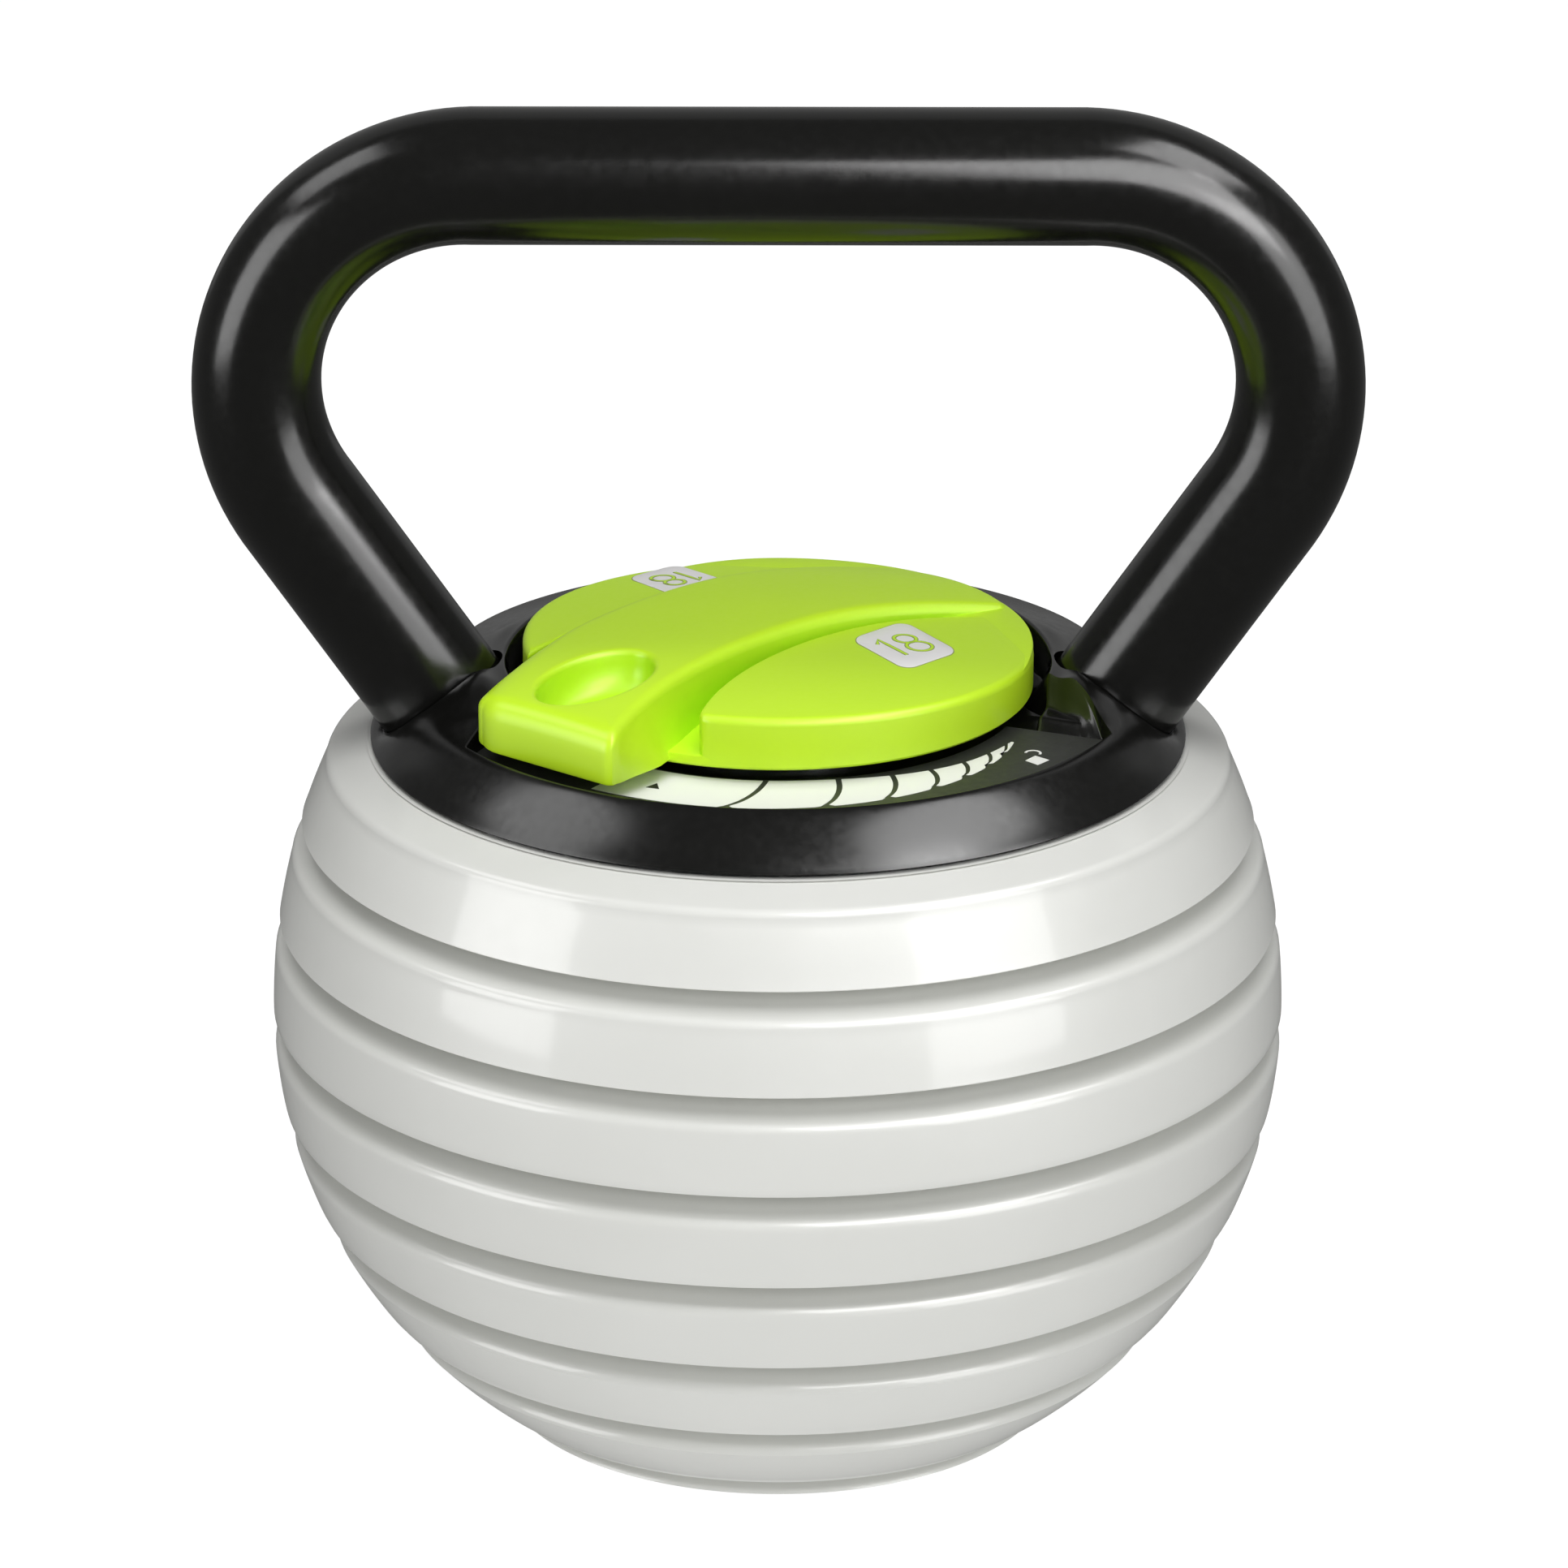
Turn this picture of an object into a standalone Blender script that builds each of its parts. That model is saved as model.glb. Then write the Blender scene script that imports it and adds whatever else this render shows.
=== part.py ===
"""Adjustable kettlebell: a dial under the handle picks how many plates come up with it.

Seven plates and a base hang one under another from a spindle with lugs.  Turning
the dial turns the spindle, and each click frees one more plate, the lowest first.
All dimensions below are in millimetres.  +Z is up, +X runs along the grip, and the
origin is the middle of the foot pad's underside.
"""
import math

import bmesh
import bpy
from mathutils import Matrix, Vector

MM = 0.001
GAP = 0.3                      # room left between pieces that touch

# Ball: the plates share one outline, a quarter ellipse above and below the equator
BALL_RADIUS = 105.4
BALL_EQUATOR_Z = 92.0
BALL_BELOW = 103.0
BALL_ABOVE = 118.0
PLATE_COUNT = 7
PLATE_PITCH = 20.4
BASE_HEIGHT = 11.0
PLATE_RIM = 15.2               # height of a plate's upper rim over its lower edge
NECK_INSET = 10.0              # how far the neck above the rim is set in
NECK_DROP = 1.9                # from the neck's foot up to the plate's top
RIM_ROUND = 2.2
PLATE_1_NECK_INSET = 7.5
BOSS_RADIUS = 26.0
BOSS_HEIGHT = 2.1
POCKET_DEPTH = 13.7
TOP_POCKET_DEPTH = 8.0
POCKET_INNER = 30.5
POCKET_WALL = 12.0
BASE_BOTTOM = 0.8
BASE_RIM_Z = 6.4
BASE_RIM_ROUND = 1.5
BASE_NECK_INSET = 7.0
BASE_RECESS_TOP = 2.8          # roof of the recess for the foot pad
PAD_RADIUS = 36.0
PAD_TOP = 2.5
LATHE_STEPS = 24

# Spindle and the keyholes that its lugs turn in
BORE_RADIUS = 10.5
KEY_RADIUS = 18.5
LEDGE_Z = 12.0                 # underside of a plate's ledge over its lower edge
BASE_LEDGE_Z = 7.2
SPINDLE_RADIUS = 9.0
SPINDLE_BOTTOM = 3.0
SPINDLE_FLANGE_RADIUS = 20.0
SPINDLE_FLANGE_BOTTOM = 159.2
RING_GROOVE_Z = 145.4
RING_GROOVE_HEIGHT = 1.6
RING_RADIUS = 12.5
LUG_RADIUS = 17.0
LUG_HEIGHT = 4.0
BASE_LUG_BOTTOM = 3.2
BASE_LUG_HEIGHT = 3.5
LUG_HALF_ANGLE = 15.0
LUG_START_ANGLE = 40.0
CLICK_ANGLE = 10.5
CLICKS = 7
SLOT_CLEARANCE_ANGLE = 1.5
BUSH_INNER_RADIUS = 9.4
BUSH_OUTER_RADIUS = 12.0
BUSH_FLANGE_RADIUS = 16.5

# Head: chassis plate, housing and what lies in it
PLATE_1_LIP_Z = 151.3
CHASSIS_RADIUS = 82.0
CHASSIS_BOTTOM = 148.0
CHASSIS_TOP = 152.0
CHASSIS_BORE_RADIUS = 12.3
HOUSING_BOTTOM = CHASSIS_TOP + GAP
HOUSING_RADIUS = 84.2
HOUSING_EDGE_RADIUS = 74.5
HOUSING_EDGE_Z = 162.0
HOUSING_MIDDLE_Z = 157.8       # halfway up the cone, where it stands out by HOUSING_BULGE
HOUSING_BULGE = 0.7
WELL_RADIUS = 56.2
WELL_EDGE_Z = 168.6
WELL_FLOOR = 158.2
SCALE_TOP = 159.5
SCALE_INNER_RADIUS = 50.5
SCALE_OUTER_RADIUS = 72.8
POCKET_START, POCKET_END = 212.0, 340.0
POCKET_SIDE_GAP = 2.0          # between the nose's side and the pocket's left wall
CAVITY_RADIUS = 34.0
CAVITY_TOP = 156.4
WHEEL_HOLE_RADIUS = 27.0

# Handle: one bent tube, welded slugs in its feet
GRIP_HALF = 61.9
GRIP_Z = 270.4
BEND_RADIUS = 44.2
BEND_ANGLE = 124.6
TUBE_RADIUS = 13.9
BEND_TUBE_RADIUS = 13.0
TUBE_WALL = 2.6
TUBE_SIDES = 14
BEND_STEPS = 9
SEAT_POINT = (57.6, 169.1)     # inner end of the flat that a leg stands on, X and Z
SEAT_SLOPE = math.radians(BEND_ANGLE - 90.0)
SEAT_BLOCK_START = -3.0        # the block that cuts the flat, along the slope from SEAT_POINT
SEAT_BLOCK_END = 50.0
SEAT_BLOCK_HEIGHT = 30.0
SEAT_BLOCK_HALF_WIDTH = 60.0
HANDLE_BOLT_X = 67.5
BOLT_RADIUS = 5.0
BOLT_HOLE_RADIUS = 5.4
BOLT_END = 12.0                # above the housing's underside
BOLT_HEAD_RADIUS = 8.0
BOLT_HEAD_HEIGHT = 5.4
BOLT_SOCKET_RADIUS = 4.0
BOLT_SOCKET_DEPTH = 3.0
BOLT_POCKET_RADIUS = 11.0
WASHER_RADIUS = 9.5
WASHER_HEIGHT = 1.4
STACK_GAP = 0.2
SLUG_LENGTH = 24.0

# Dial
DIAL_RADIUS = 52.6
DIAL_BOTTOM = 162.3
DIAL_RIM_Z = 173.2
BAR_ARC_CENTRE = (85.0, -97.0)
BAR_INNER_RADIUS = 122.0
BAR_OUTER_RADIUS = 157.0
BAR_BOTTOM = 163.0
BAR_END_Z = 174.2
BAR_CREST_Z = 177.6
BAR_DIRECTION = 50.0
BAR_FRONT_REACH = 70.0         # from the axis to where the crest has come down to BAR_END_Z
BAR_BACK_Z = 173.6             # its height at BAR_BACK_REACH, behind the axis
BAR_BACK_REACH = 52.0
NOSE_REACH = 70.5              # nose face from the axis, along the nose direction
NOSE_ANGLE = 231.0
GROOVE_WIDTH = 2.6
GROOVE_FLOOR = 166.0
HOLE_CENTRE = (-36.6, -30.5)
HOLE_HALF = (15.0, 9.2)
HOLE_ANGLE = 52.0
HOLE_FLOOR = 167.0
BADGE_HALF = (7.8, 9.2)
BADGE_ROUND = 2.6
BADGE_PLACES = ((25.7, -11.2, 0.0), (-21.5, 35.5, 180.0))   # x, y and turn on the dial
BADGE_AXES = (49.0, 124.0)     # headings of a badge's two directions, which lean together
BADGE_THICKNESS = 0.5
DIAL_WALL = 4.0                # the hollow underside, from the rim inwards
DIAL_HUB_RADIUS = 22.0
DIAL_HOLLOW = 1.6
DIAL_EDGE = 1.4
DIAL_CROWN = 1.0

# Detent wheel and its leaf spring
WHEEL_RADIUS = 24.0
WHEEL_BOTTOM = 154.8
WHEEL_TOP = 158.9
NOTCH_DEPTH = 1.3
NOTCH_HALF_ANGLE = 3.2
DETENT_ANGLE = 90.0
SPRING_THICKNESS = 0.8
SPRING_CLEARANCE = 1.9
SPRING_TIP_CLEARANCE = 0.4
SPRING_FOOT = (30.0, 138.0)    # polar place of its screw
SPRING_FOOT_RADIUS = 3.6

# Screws: hole radii, heads and places
SCREW_HOLE = 2.1
SCREW_SHANK = 1.7
SCREW_HEAD = 3.9
SCREW_HEAD_HEIGHT = 2.0
SCREW_SINK_RADIUS = 4.4
SCREW_SINK_DEPTH = 2.4
HOUSING_SCREW_TIP = 156.8
HOUSING_HOLE_TOP = 157.2
SPRING_SCREW_TIP = 155.6
HOUSING_SCREW_CIRCLE = 66.0
HOUSING_SCREW_ANGLES = (32.0, 148.0, 199.5, 270.0)
PLATE_SCREW_HOLE = 2.9
PLATE_SCREW_SHANK = 2.5
PLATE_SCREW_HEAD = 4.5
PLATE_SCREW_HEAD_HEIGHT = 3.9
PLATE_SCREW_CIRCLE = 48.0
PLATE_SCREW_ANGLES = (90.0, 210.0, 330.0)
DIAL_SCREW_HEAD = 3.2
DIAL_SCREW_HEAD_HEIGHT = 1.8
DIAL_SCREW_SINK_RADIUS = 3.6
DIAL_SCREW_REACH = 5.0         # into the dial
DIAL_SCREW_CIRCLE = 15.5
DIAL_SCREW_ANGLES = (20.0, 140.0, 260.0)
THROUGH = 1.0                  # how far a cutter sticks out past what it cuts

COLOURS = {
    "plate_paint": ((0.74, 0.74, 0.71), 0.25, 0.0),
    "black_paint": ((0.012, 0.012, 0.011), 0.42, 0.0),
    "green_plastic": ((0.48, 0.79, 0.02), 0.38, 0.0),
    "steel": ((0.55, 0.55, 0.56), 0.35, 1.0),
    "brass": ((0.72, 0.53, 0.25), 0.35, 1.0),
    "rubber": ((0.03, 0.03, 0.03), 0.85, 0.0),
    "scale_print": ((0.85, 0.85, 0.82), 0.5, 0.0),
}


def clear_scene():
    for item in list(bpy.data.objects):
        bpy.data.objects.remove(item, do_unlink=True)


def material(name):
    """The Principled material of one finish, made once."""
    found = bpy.data.materials.get(name)
    if found:
        return found
    colour, roughness, metallic = COLOURS[name]
    made = bpy.data.materials.new(name)
    made.use_nodes = True
    shader = made.node_tree.nodes["Principled BSDF"]
    shader.inputs["Base Color"].default_value = (*colour, 1.0)
    shader.inputs["Roughness"].default_value = roughness
    shader.inputs["Metallic"].default_value = metallic
    return made


def finish(name, shape, finish_name, parent=None):
    """Turn a bmesh in millimetres into a named object in metres."""
    bmesh.ops.recalc_face_normals(shape, faces=shape.faces)
    shape.transform(Matrix.Scale(MM, 4))
    mesh = bpy.data.meshes.new(name)
    shape.to_mesh(mesh)
    shape.free()
    mesh.shade_smooth()
    mesh.set_sharp_from_angle(angle=math.radians(35.0))
    thing = bpy.data.objects.new(name, mesh)
    bpy.context.scene.collection.objects.link(thing)
    mesh.materials.append(material(finish_name))
    thing.parent = parent
    return thing


def polar(radius, degrees):
    angle = math.radians(degrees)
    return radius * math.cos(angle), radius * math.sin(angle)


def lathe(profile, steps=LATHE_STEPS, centre=(0.0, 0.0)):
    """Turn a closed profile of (radius, z) round a vertical axis."""
    shape = bmesh.new()
    cx, cy = centre
    rings = []
    for radius, z in profile:
        if radius < 1e-6:
            rings.append([shape.verts.new((cx, cy, z))] * steps)
            continue
        ring = []
        for step in range(steps):
            x, y = polar(radius, 360.0 * step / steps)
            ring.append(shape.verts.new((cx + x, cy + y, z)))
        rings.append(ring)
    for low, high in zip(rings, rings[1:] + rings[:1]):
        for step in range(steps):
            after = (step + 1) % steps
            corners = [low[step], low[after], high[after], high[step]]
            corners = list(dict.fromkeys(corners))
            if len(corners) > 2:
                shape.faces.new(corners)
    return shape


def prism(outline, bottom, top):
    """Extrude a closed outline of (x, y) from bottom to top."""
    shape = bmesh.new()
    low = [shape.verts.new((x, y, bottom)) for x, y in outline]
    high = [shape.verts.new((x, y, top)) for x, y in outline]
    shape.faces.new(low)
    shape.faces.new(high)
    for index in range(len(outline)):
        after = (index + 1) % len(outline)
        shape.faces.new((low[index], low[after], high[after], high[index]))
    return shape


def arc(radius, start, end, steps, centre=(0.0, 0.0)):
    """Points on an arc, both ends included."""
    points = []
    for step in range(steps + 1):
        x, y = polar(radius, start + (end - start) * step / steps)
        points.append((centre[0] + x, centre[1] + y))
    return points


def sector(inner, outer, start, end, steps):
    """Outline of a ring sector."""
    return arc(outer, start, end, steps) + arc(inner, end, start, steps)


def disc(radius, bottom, top, steps, centre=(0.0, 0.0)):
    """Short cylinder; its corners are turned off the axes so that none meets a lathe edge."""
    start = 11.0
    outline = arc(radius, start, start + 360.0 * (steps - 1) / steps, steps - 1, centre)
    return prism(outline, bottom, top)


def joined(shapes):
    """Several bmeshes as one, for a cutter with separate bodies."""
    whole = bmesh.new()
    for shape in shapes:
        bmesh.ops.recalc_face_normals(shape, faces=shape.faces)
        mesh = bpy.data.meshes.new("cutter_part")
        shape.to_mesh(mesh)
        shape.free()
        whole.from_mesh(mesh)
        bpy.data.meshes.remove(mesh)
    return whole


def cut(target, shapes, operation="DIFFERENCE"):
    """Cut shapes from target, or add them to it."""
    cutter = finish(f"{target.name}_cutter_{len(target.modifiers)}", joined(shapes), "steel")
    cutter.hide_render = True
    cutter.display_type = "WIRE"
    modifier = target.modifiers.new(operation.title(), "BOOLEAN")
    modifier.operation = operation
    modifier.object = cutter


def ball_radius(z):
    reach = BALL_ABOVE if z > BALL_EQUATOR_Z else BALL_BELOW
    return BALL_RADIUS * math.sqrt(1.0 - ((z - BALL_EQUATOR_Z) / reach) ** 2)


def plate_bottom(number):
    """Lower edge of plate 1 (the top one) to 7 (the lowest one)."""
    return BASE_HEIGHT + PLATE_PITCH * (PLATE_COUNT - number)


def rim_side(bottom, rim_z, neck_top):
    """A plate's outer side, from its lower edge over the rounded rim to the neck."""
    middle = 0.5 * (bottom + rim_z)
    rim = ball_radius(rim_z)
    neck = rim - NECK_INSET
    return [
        (ball_radius(bottom), bottom),
        (ball_radius(middle), middle),
        (rim, rim_z - RIM_ROUND),
        (rim - 0.8 * RIM_ROUND, rim_z),
        (neck, neck_top - NECK_DROP),
        (neck, neck_top),
    ]


def underside(bottom, depth):
    """A plate's underside from the hub recess out to its lower edge."""
    wall = ball_radius(bottom) - POCKET_WALL
    return [
        (KEY_RADIUS, bottom + BOSS_HEIGHT + 0.5),
        (BOSS_RADIUS + 0.4, bottom + BOSS_HEIGHT + 0.5),
        (BOSS_RADIUS + 0.4, bottom),
        (POCKET_INNER, bottom),
        (POCKET_INNER, bottom + depth),
        (wall - 6.0, bottom + depth),
        (wall, bottom),
    ]


def keyhole_slots(released_at_click, bottom, top):
    """The two slots through a ledge that let the lugs pass once they are turned far enough."""
    first = LUG_START_ANGLE + CLICK_ANGLE * released_at_click - LUG_HALF_ANGLE
    last = LUG_START_ANGLE + CLICK_ANGLE * CLICKS + LUG_HALF_ANGLE
    steps = max(2, round((last - first) / 12.0))
    slots = []
    for side in (0.0, 180.0):
        start = first - SLOT_CLEARANCE_ANGLE + side
        end = last + SLOT_CLEARANCE_ANGLE + side
        outline = sector(BORE_RADIUS - 2.5, KEY_RADIUS - 0.6, start, end, steps)
        slots.append(prism(outline, bottom, top))
    return slots


def loose_plate(number):
    """Plates 2 to 7, which come off below the dial."""
    bottom = plate_bottom(number)
    top = bottom + PLATE_PITCH - GAP
    boss_top = top + BOSS_HEIGHT
    profile = rim_side(bottom, bottom + PLATE_RIM, top)
    profile += [
        (BOSS_RADIUS, top),
        (BOSS_RADIUS, boss_top),
        (BORE_RADIUS, boss_top),
        (BORE_RADIUS, bottom + LEDGE_Z),
        (KEY_RADIUS, bottom + LEDGE_Z),
    ]
    profile += underside(bottom, POCKET_DEPTH)
    plate = finish(f"plate_{number}", lathe(profile), "plate_paint")
    click = PLATE_COUNT + 2 - number
    cut(plate, keyhole_slots(click, bottom + LEDGE_Z - THROUGH, boss_top + THROUGH))


def base_plate():
    """The lowest element, which holds the foot pad in its underside."""
    top = BASE_HEIGHT - GAP
    boss_top = top + BOSS_HEIGHT
    rim = ball_radius(BASE_RIM_Z)
    neck = rim - BASE_NECK_INSET
    recess = PAD_RADIUS + 0.4
    profile = [
        (ball_radius(BASE_BOTTOM), BASE_BOTTOM),
        (rim, BASE_RIM_Z - BASE_RIM_ROUND),
        (rim - BASE_RIM_ROUND, BASE_RIM_Z),
        (neck, top - 1.5),
        (neck, top),
        (BOSS_RADIUS, top),
        (BOSS_RADIUS, boss_top),
        (BORE_RADIUS, boss_top),
        (BORE_RADIUS, BASE_LEDGE_Z),
        (KEY_RADIUS, BASE_LEDGE_Z),
        (KEY_RADIUS, BASE_RECESS_TOP),
        (recess, BASE_RECESS_TOP),
        (recess, BASE_BOTTOM),
    ]
    plate = finish("base_plate", lathe(profile), "plate_paint")
    cut(plate, keyhole_slots(1, BASE_LEDGE_Z - THROUGH, boss_top + THROUGH))
    pad = [(0, 0), (PAD_RADIUS - 0.8, 0), (PAD_RADIUS, 0.8), (PAD_RADIUS, PAD_TOP), (0, PAD_TOP)]
    finish("foot_pad", lathe(pad), "rubber")


def top_plate():
    """Plate 1, screwed to the chassis plate and never released."""
    bottom = plate_bottom(1)
    rim_z = bottom + PLATE_RIM
    rim = ball_radius(rim_z)
    recess = CHASSIS_BOTTOM - GAP
    ring_recess = (RING_RADIUS + 2.5, RING_GROOVE_Z - 2.2)
    ledge = bottom + LEDGE_Z - 3.0
    profile = rim_side(bottom, rim_z, PLATE_1_LIP_Z)[:4]
    profile += [
        (rim - PLATE_1_NECK_INSET, PLATE_1_LIP_Z),
        (CHASSIS_RADIUS + 0.5, PLATE_1_LIP_Z),
        (CHASSIS_RADIUS + 0.5, recess),
        (ring_recess[0], recess),
        ring_recess,
        (BORE_RADIUS, ring_recess[1]),
        (BORE_RADIUS, ledge),
        (KEY_RADIUS, ledge),
    ]
    profile += underside(bottom, TOP_POCKET_DEPTH)
    plate = finish("plate_1", lathe(profile), "plate_paint")
    low, high = bottom + 4.0, recess + THROUGH
    pockets = [disc(BOLT_POCKET_RADIUS, low, high, 16, at) for at in handle_bolt_places()]
    holes = [disc(PLATE_SCREW_HOLE, low, high, 8, at) for at in plate_screw_places()]
    cut(plate, pockets + holes)


def handle_bolt_places():
    return [(HANDLE_BOLT_X, 0.0), (-HANDLE_BOLT_X, 0.0)]


def plate_screw_places():
    return [polar(PLATE_SCREW_CIRCLE, angle) for angle in PLATE_SCREW_ANGLES]


def housing_screw_places():
    return [polar(HOUSING_SCREW_CIRCLE, angle) for angle in HOUSING_SCREW_ANGLES]


def chassis_plate():
    """Steel disc that joins the handle, the housing and plate 1, and carries the spindle."""
    profile = [
        (CHASSIS_BORE_RADIUS, CHASSIS_BOTTOM),
        (CHASSIS_BORE_RADIUS, CHASSIS_TOP),
        (CHASSIS_RADIUS, CHASSIS_TOP),
        (CHASSIS_RADIUS, CHASSIS_BOTTOM),
    ]
    plate = finish("chassis_plate", lathe(profile), "steel")
    below, above = CHASSIS_BOTTOM - THROUGH, CHASSIS_TOP + THROUGH
    sunk_screws = housing_screw_places() + [polar(*SPRING_FOOT)]
    holes = [disc(BOLT_HOLE_RADIUS, below, above, 12, at) for at in handle_bolt_places()]
    holes += [disc(PLATE_SCREW_HOLE, below, above, 8, at) for at in plate_screw_places()]
    holes += [disc(SCREW_HOLE, below, above, 8, at) for at in sunk_screws]
    cut(plate, holes)
    sink_top = CHASSIS_BOTTOM + SCREW_SINK_DEPTH
    cut(plate, [disc(SCREW_SINK_RADIUS, below, sink_top, 10, at) for at in sunk_screws])


def seat_cutter(side):
    """Everything above the sloping flat that a leg stands on."""
    x, z = SEAT_POINT
    along = Vector((math.cos(SEAT_SLOPE), 0.0, -math.sin(SEAT_SLOPE)))
    up = Vector((math.sin(SEAT_SLOPE), 0.0, math.cos(SEAT_SLOPE)))
    foot = Vector((x, 0.0, z))
    block = bmesh.new()
    for far in (SEAT_BLOCK_START, SEAT_BLOCK_END):
        for high in (0.0, SEAT_BLOCK_HEIGHT):
            for wide in (-SEAT_BLOCK_HALF_WIDTH, SEAT_BLOCK_HALF_WIDTH):
                point = foot + far * along + high * up
                block.verts.new((side * point.x, wide, point.z))
    bmesh.ops.convex_hull(block, input=block.verts)
    return block


def leg_point(distance):
    """A point on the right leg's axis, measured down from the end of the bend."""
    turn = math.radians(BEND_ANGLE)
    x = GRIP_HALF + BEND_RADIUS * math.sin(turn) + distance * math.cos(turn)
    z = GRIP_Z - BEND_RADIUS + BEND_RADIUS * math.cos(turn) - distance * math.sin(turn)
    return Vector((x, 0.0, z))


def foot_distance():
    """Length of the straight leg, down to the chassis plate."""
    return (leg_point(0.0).z - HOUSING_BOTTOM) / math.sin(math.radians(BEND_ANGLE))


def leg_rod(side, radius, start, end, sides, level_foot=None):
    """A rod along a leg's axis; with level_foot its lower end is cut level at that height."""
    axis = (leg_point(1.0) - leg_point(0.0)).normalized()
    across = Vector((-axis.z, 0.0, axis.x))
    shape = bmesh.new()
    rings = []
    for distance in (start, end):
        ring = []
        for step in range(sides):
            u, v = polar(radius, 360.0 * step / sides)
            point = leg_point(distance) + u * across + Vector((0.0, v, 0.0))
            if distance == end and level_foot is not None:
                point += axis * ((level_foot - point.z) / axis.z)
            ring.append(shape.verts.new((side * point.x, point.y, point.z)))
        rings.append(ring)
    shape.faces.new(rings[0])
    shape.faces.new(rings[1])
    for step in range(sides):
        after = (step + 1) % sides
        shape.faces.new((rings[0][step], rings[0][after], rings[1][after], rings[1][step]))
    return shape


def pocket_outline():
    """The scale pocket seen from above; its ends sweep out to the housing's edge."""
    outer = HOUSING_EDGE_RADIUS - 1.2
    inner = WELL_RADIUS - 4.0
    outline = arc(outer, POCKET_START, POCKET_END - 2.0, 14)
    outline.append(polar(66.0, POCKET_END + 4.0))
    outline += arc(inner, POCKET_END + 4.0, POCKET_START, 9)
    outline += bar_edge(BAR_OUTER_RADIUS + POCKET_SIDE_GAP, 148.0, 157.5, 3)
    return outline


def top_housing():
    """Black casing over the chassis plate, with the dial's well and the scale pocket."""
    profile = [
        (HOUSING_RADIUS, HOUSING_BOTTOM),
        (0.5 * (HOUSING_RADIUS + HOUSING_EDGE_RADIUS) + HOUSING_BULGE, HOUSING_MIDDLE_Z),
        (HOUSING_EDGE_RADIUS, HOUSING_EDGE_Z),
        (WELL_RADIUS + 1.0, WELL_EDGE_Z),
        (WELL_RADIUS, WELL_EDGE_Z - 0.8),
        (WELL_RADIUS, WELL_FLOOR),
        (WHEEL_HOLE_RADIUS, WELL_FLOOR),
        (WHEEL_HOLE_RADIUS, CAVITY_TOP),
        (CAVITY_RADIUS, CAVITY_TOP),
        (CAVITY_RADIUS, HOUSING_BOTTOM),
    ]
    housing = finish("top_housing", lathe(profile, steps=48), "black_paint")
    cut(housing, [seat_cutter(1), seat_cutter(-1)])
    cut(housing, [prism(pocket_outline(), WELL_FLOOR, WELL_EDGE_Z + 4.0)])
    bores = [leg_rod(side, TUBE_RADIUS + 0.5, 20.0, 80.0, 20) for side in (1, -1)]
    below = HOUSING_BOTTOM - THROUGH
    holes = [disc(SCREW_HOLE, below, HOUSING_HOLE_TOP, 8, at) for at in housing_screw_places()]
    cut(housing, bores + holes)


def scale_ring():
    """Printed plate in the scale pocket."""
    start, end = POCKET_START + 2.5, POCKET_END - 4.0
    outline = sector(SCALE_INNER_RADIUS, SCALE_OUTER_RADIUS, start, end, 14)
    finish("scale_ring", prism(outline, WELL_FLOOR + GAP, SCALE_TOP), "scale_print")


def handle_path():
    """Centre line and radius of the tube, from the right foot to the left one."""
    right = [(leg_point(foot_distance()), BEND_ANGLE, TUBE_RADIUS),
             (leg_point(14.0), BEND_ANGLE, TUBE_RADIUS)]
    for step in range(BEND_STEPS + 1):
        degrees = BEND_ANGLE * (1.0 - step / BEND_STEPS)
        turn = math.radians(degrees)
        x = GRIP_HALF + BEND_RADIUS * math.sin(turn)
        z = GRIP_Z - BEND_RADIUS + BEND_RADIUS * math.cos(turn)
        squeeze = math.sin(math.pi * step / BEND_STEPS)
        radius = TUBE_RADIUS - (TUBE_RADIUS - BEND_TUBE_RADIUS) * squeeze
        right.append((Vector((x, 0.0, z)), degrees, radius))
    left = [(Vector((-p.x, 0.0, p.z)), -degrees, radius) for p, degrees, radius in reversed(right)]
    return right + left


def handle():
    """Hollow steel tube; its feet are cut level where they stand on the chassis plate."""
    path = handle_path()
    shape = bmesh.new()

    def ring(station, inset):
        point, degrees, radius = station
        turn = math.radians(degrees)
        across = Vector((math.sin(turn), 0.0, math.cos(turn)))
        axis = Vector((-math.cos(turn), 0.0, math.sin(turn)))
        made = []
        for step in range(TUBE_SIDES):
            u, v = polar(radius - inset, 360.0 * step / TUBE_SIDES)
            corner = point + u * across + Vector((0.0, v, 0.0))
            if station is path[0] or station is path[-1]:
                corner += axis * ((point.z - corner.z) / axis.z)
            made.append(shape.verts.new(corner))
        return made

    rings = [ring(station, 0.0) for station in path]
    rings += [ring(station, TUBE_WALL) for station in reversed(path)]
    for one, other in zip(rings, rings[1:] + rings[:1]):
        for step in range(TUBE_SIDES):
            after = (step + 1) % TUBE_SIDES
            shape.faces.new((one[step], one[after], other[after], other[step]))
    finish("handle", shape, "black_paint")


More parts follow.
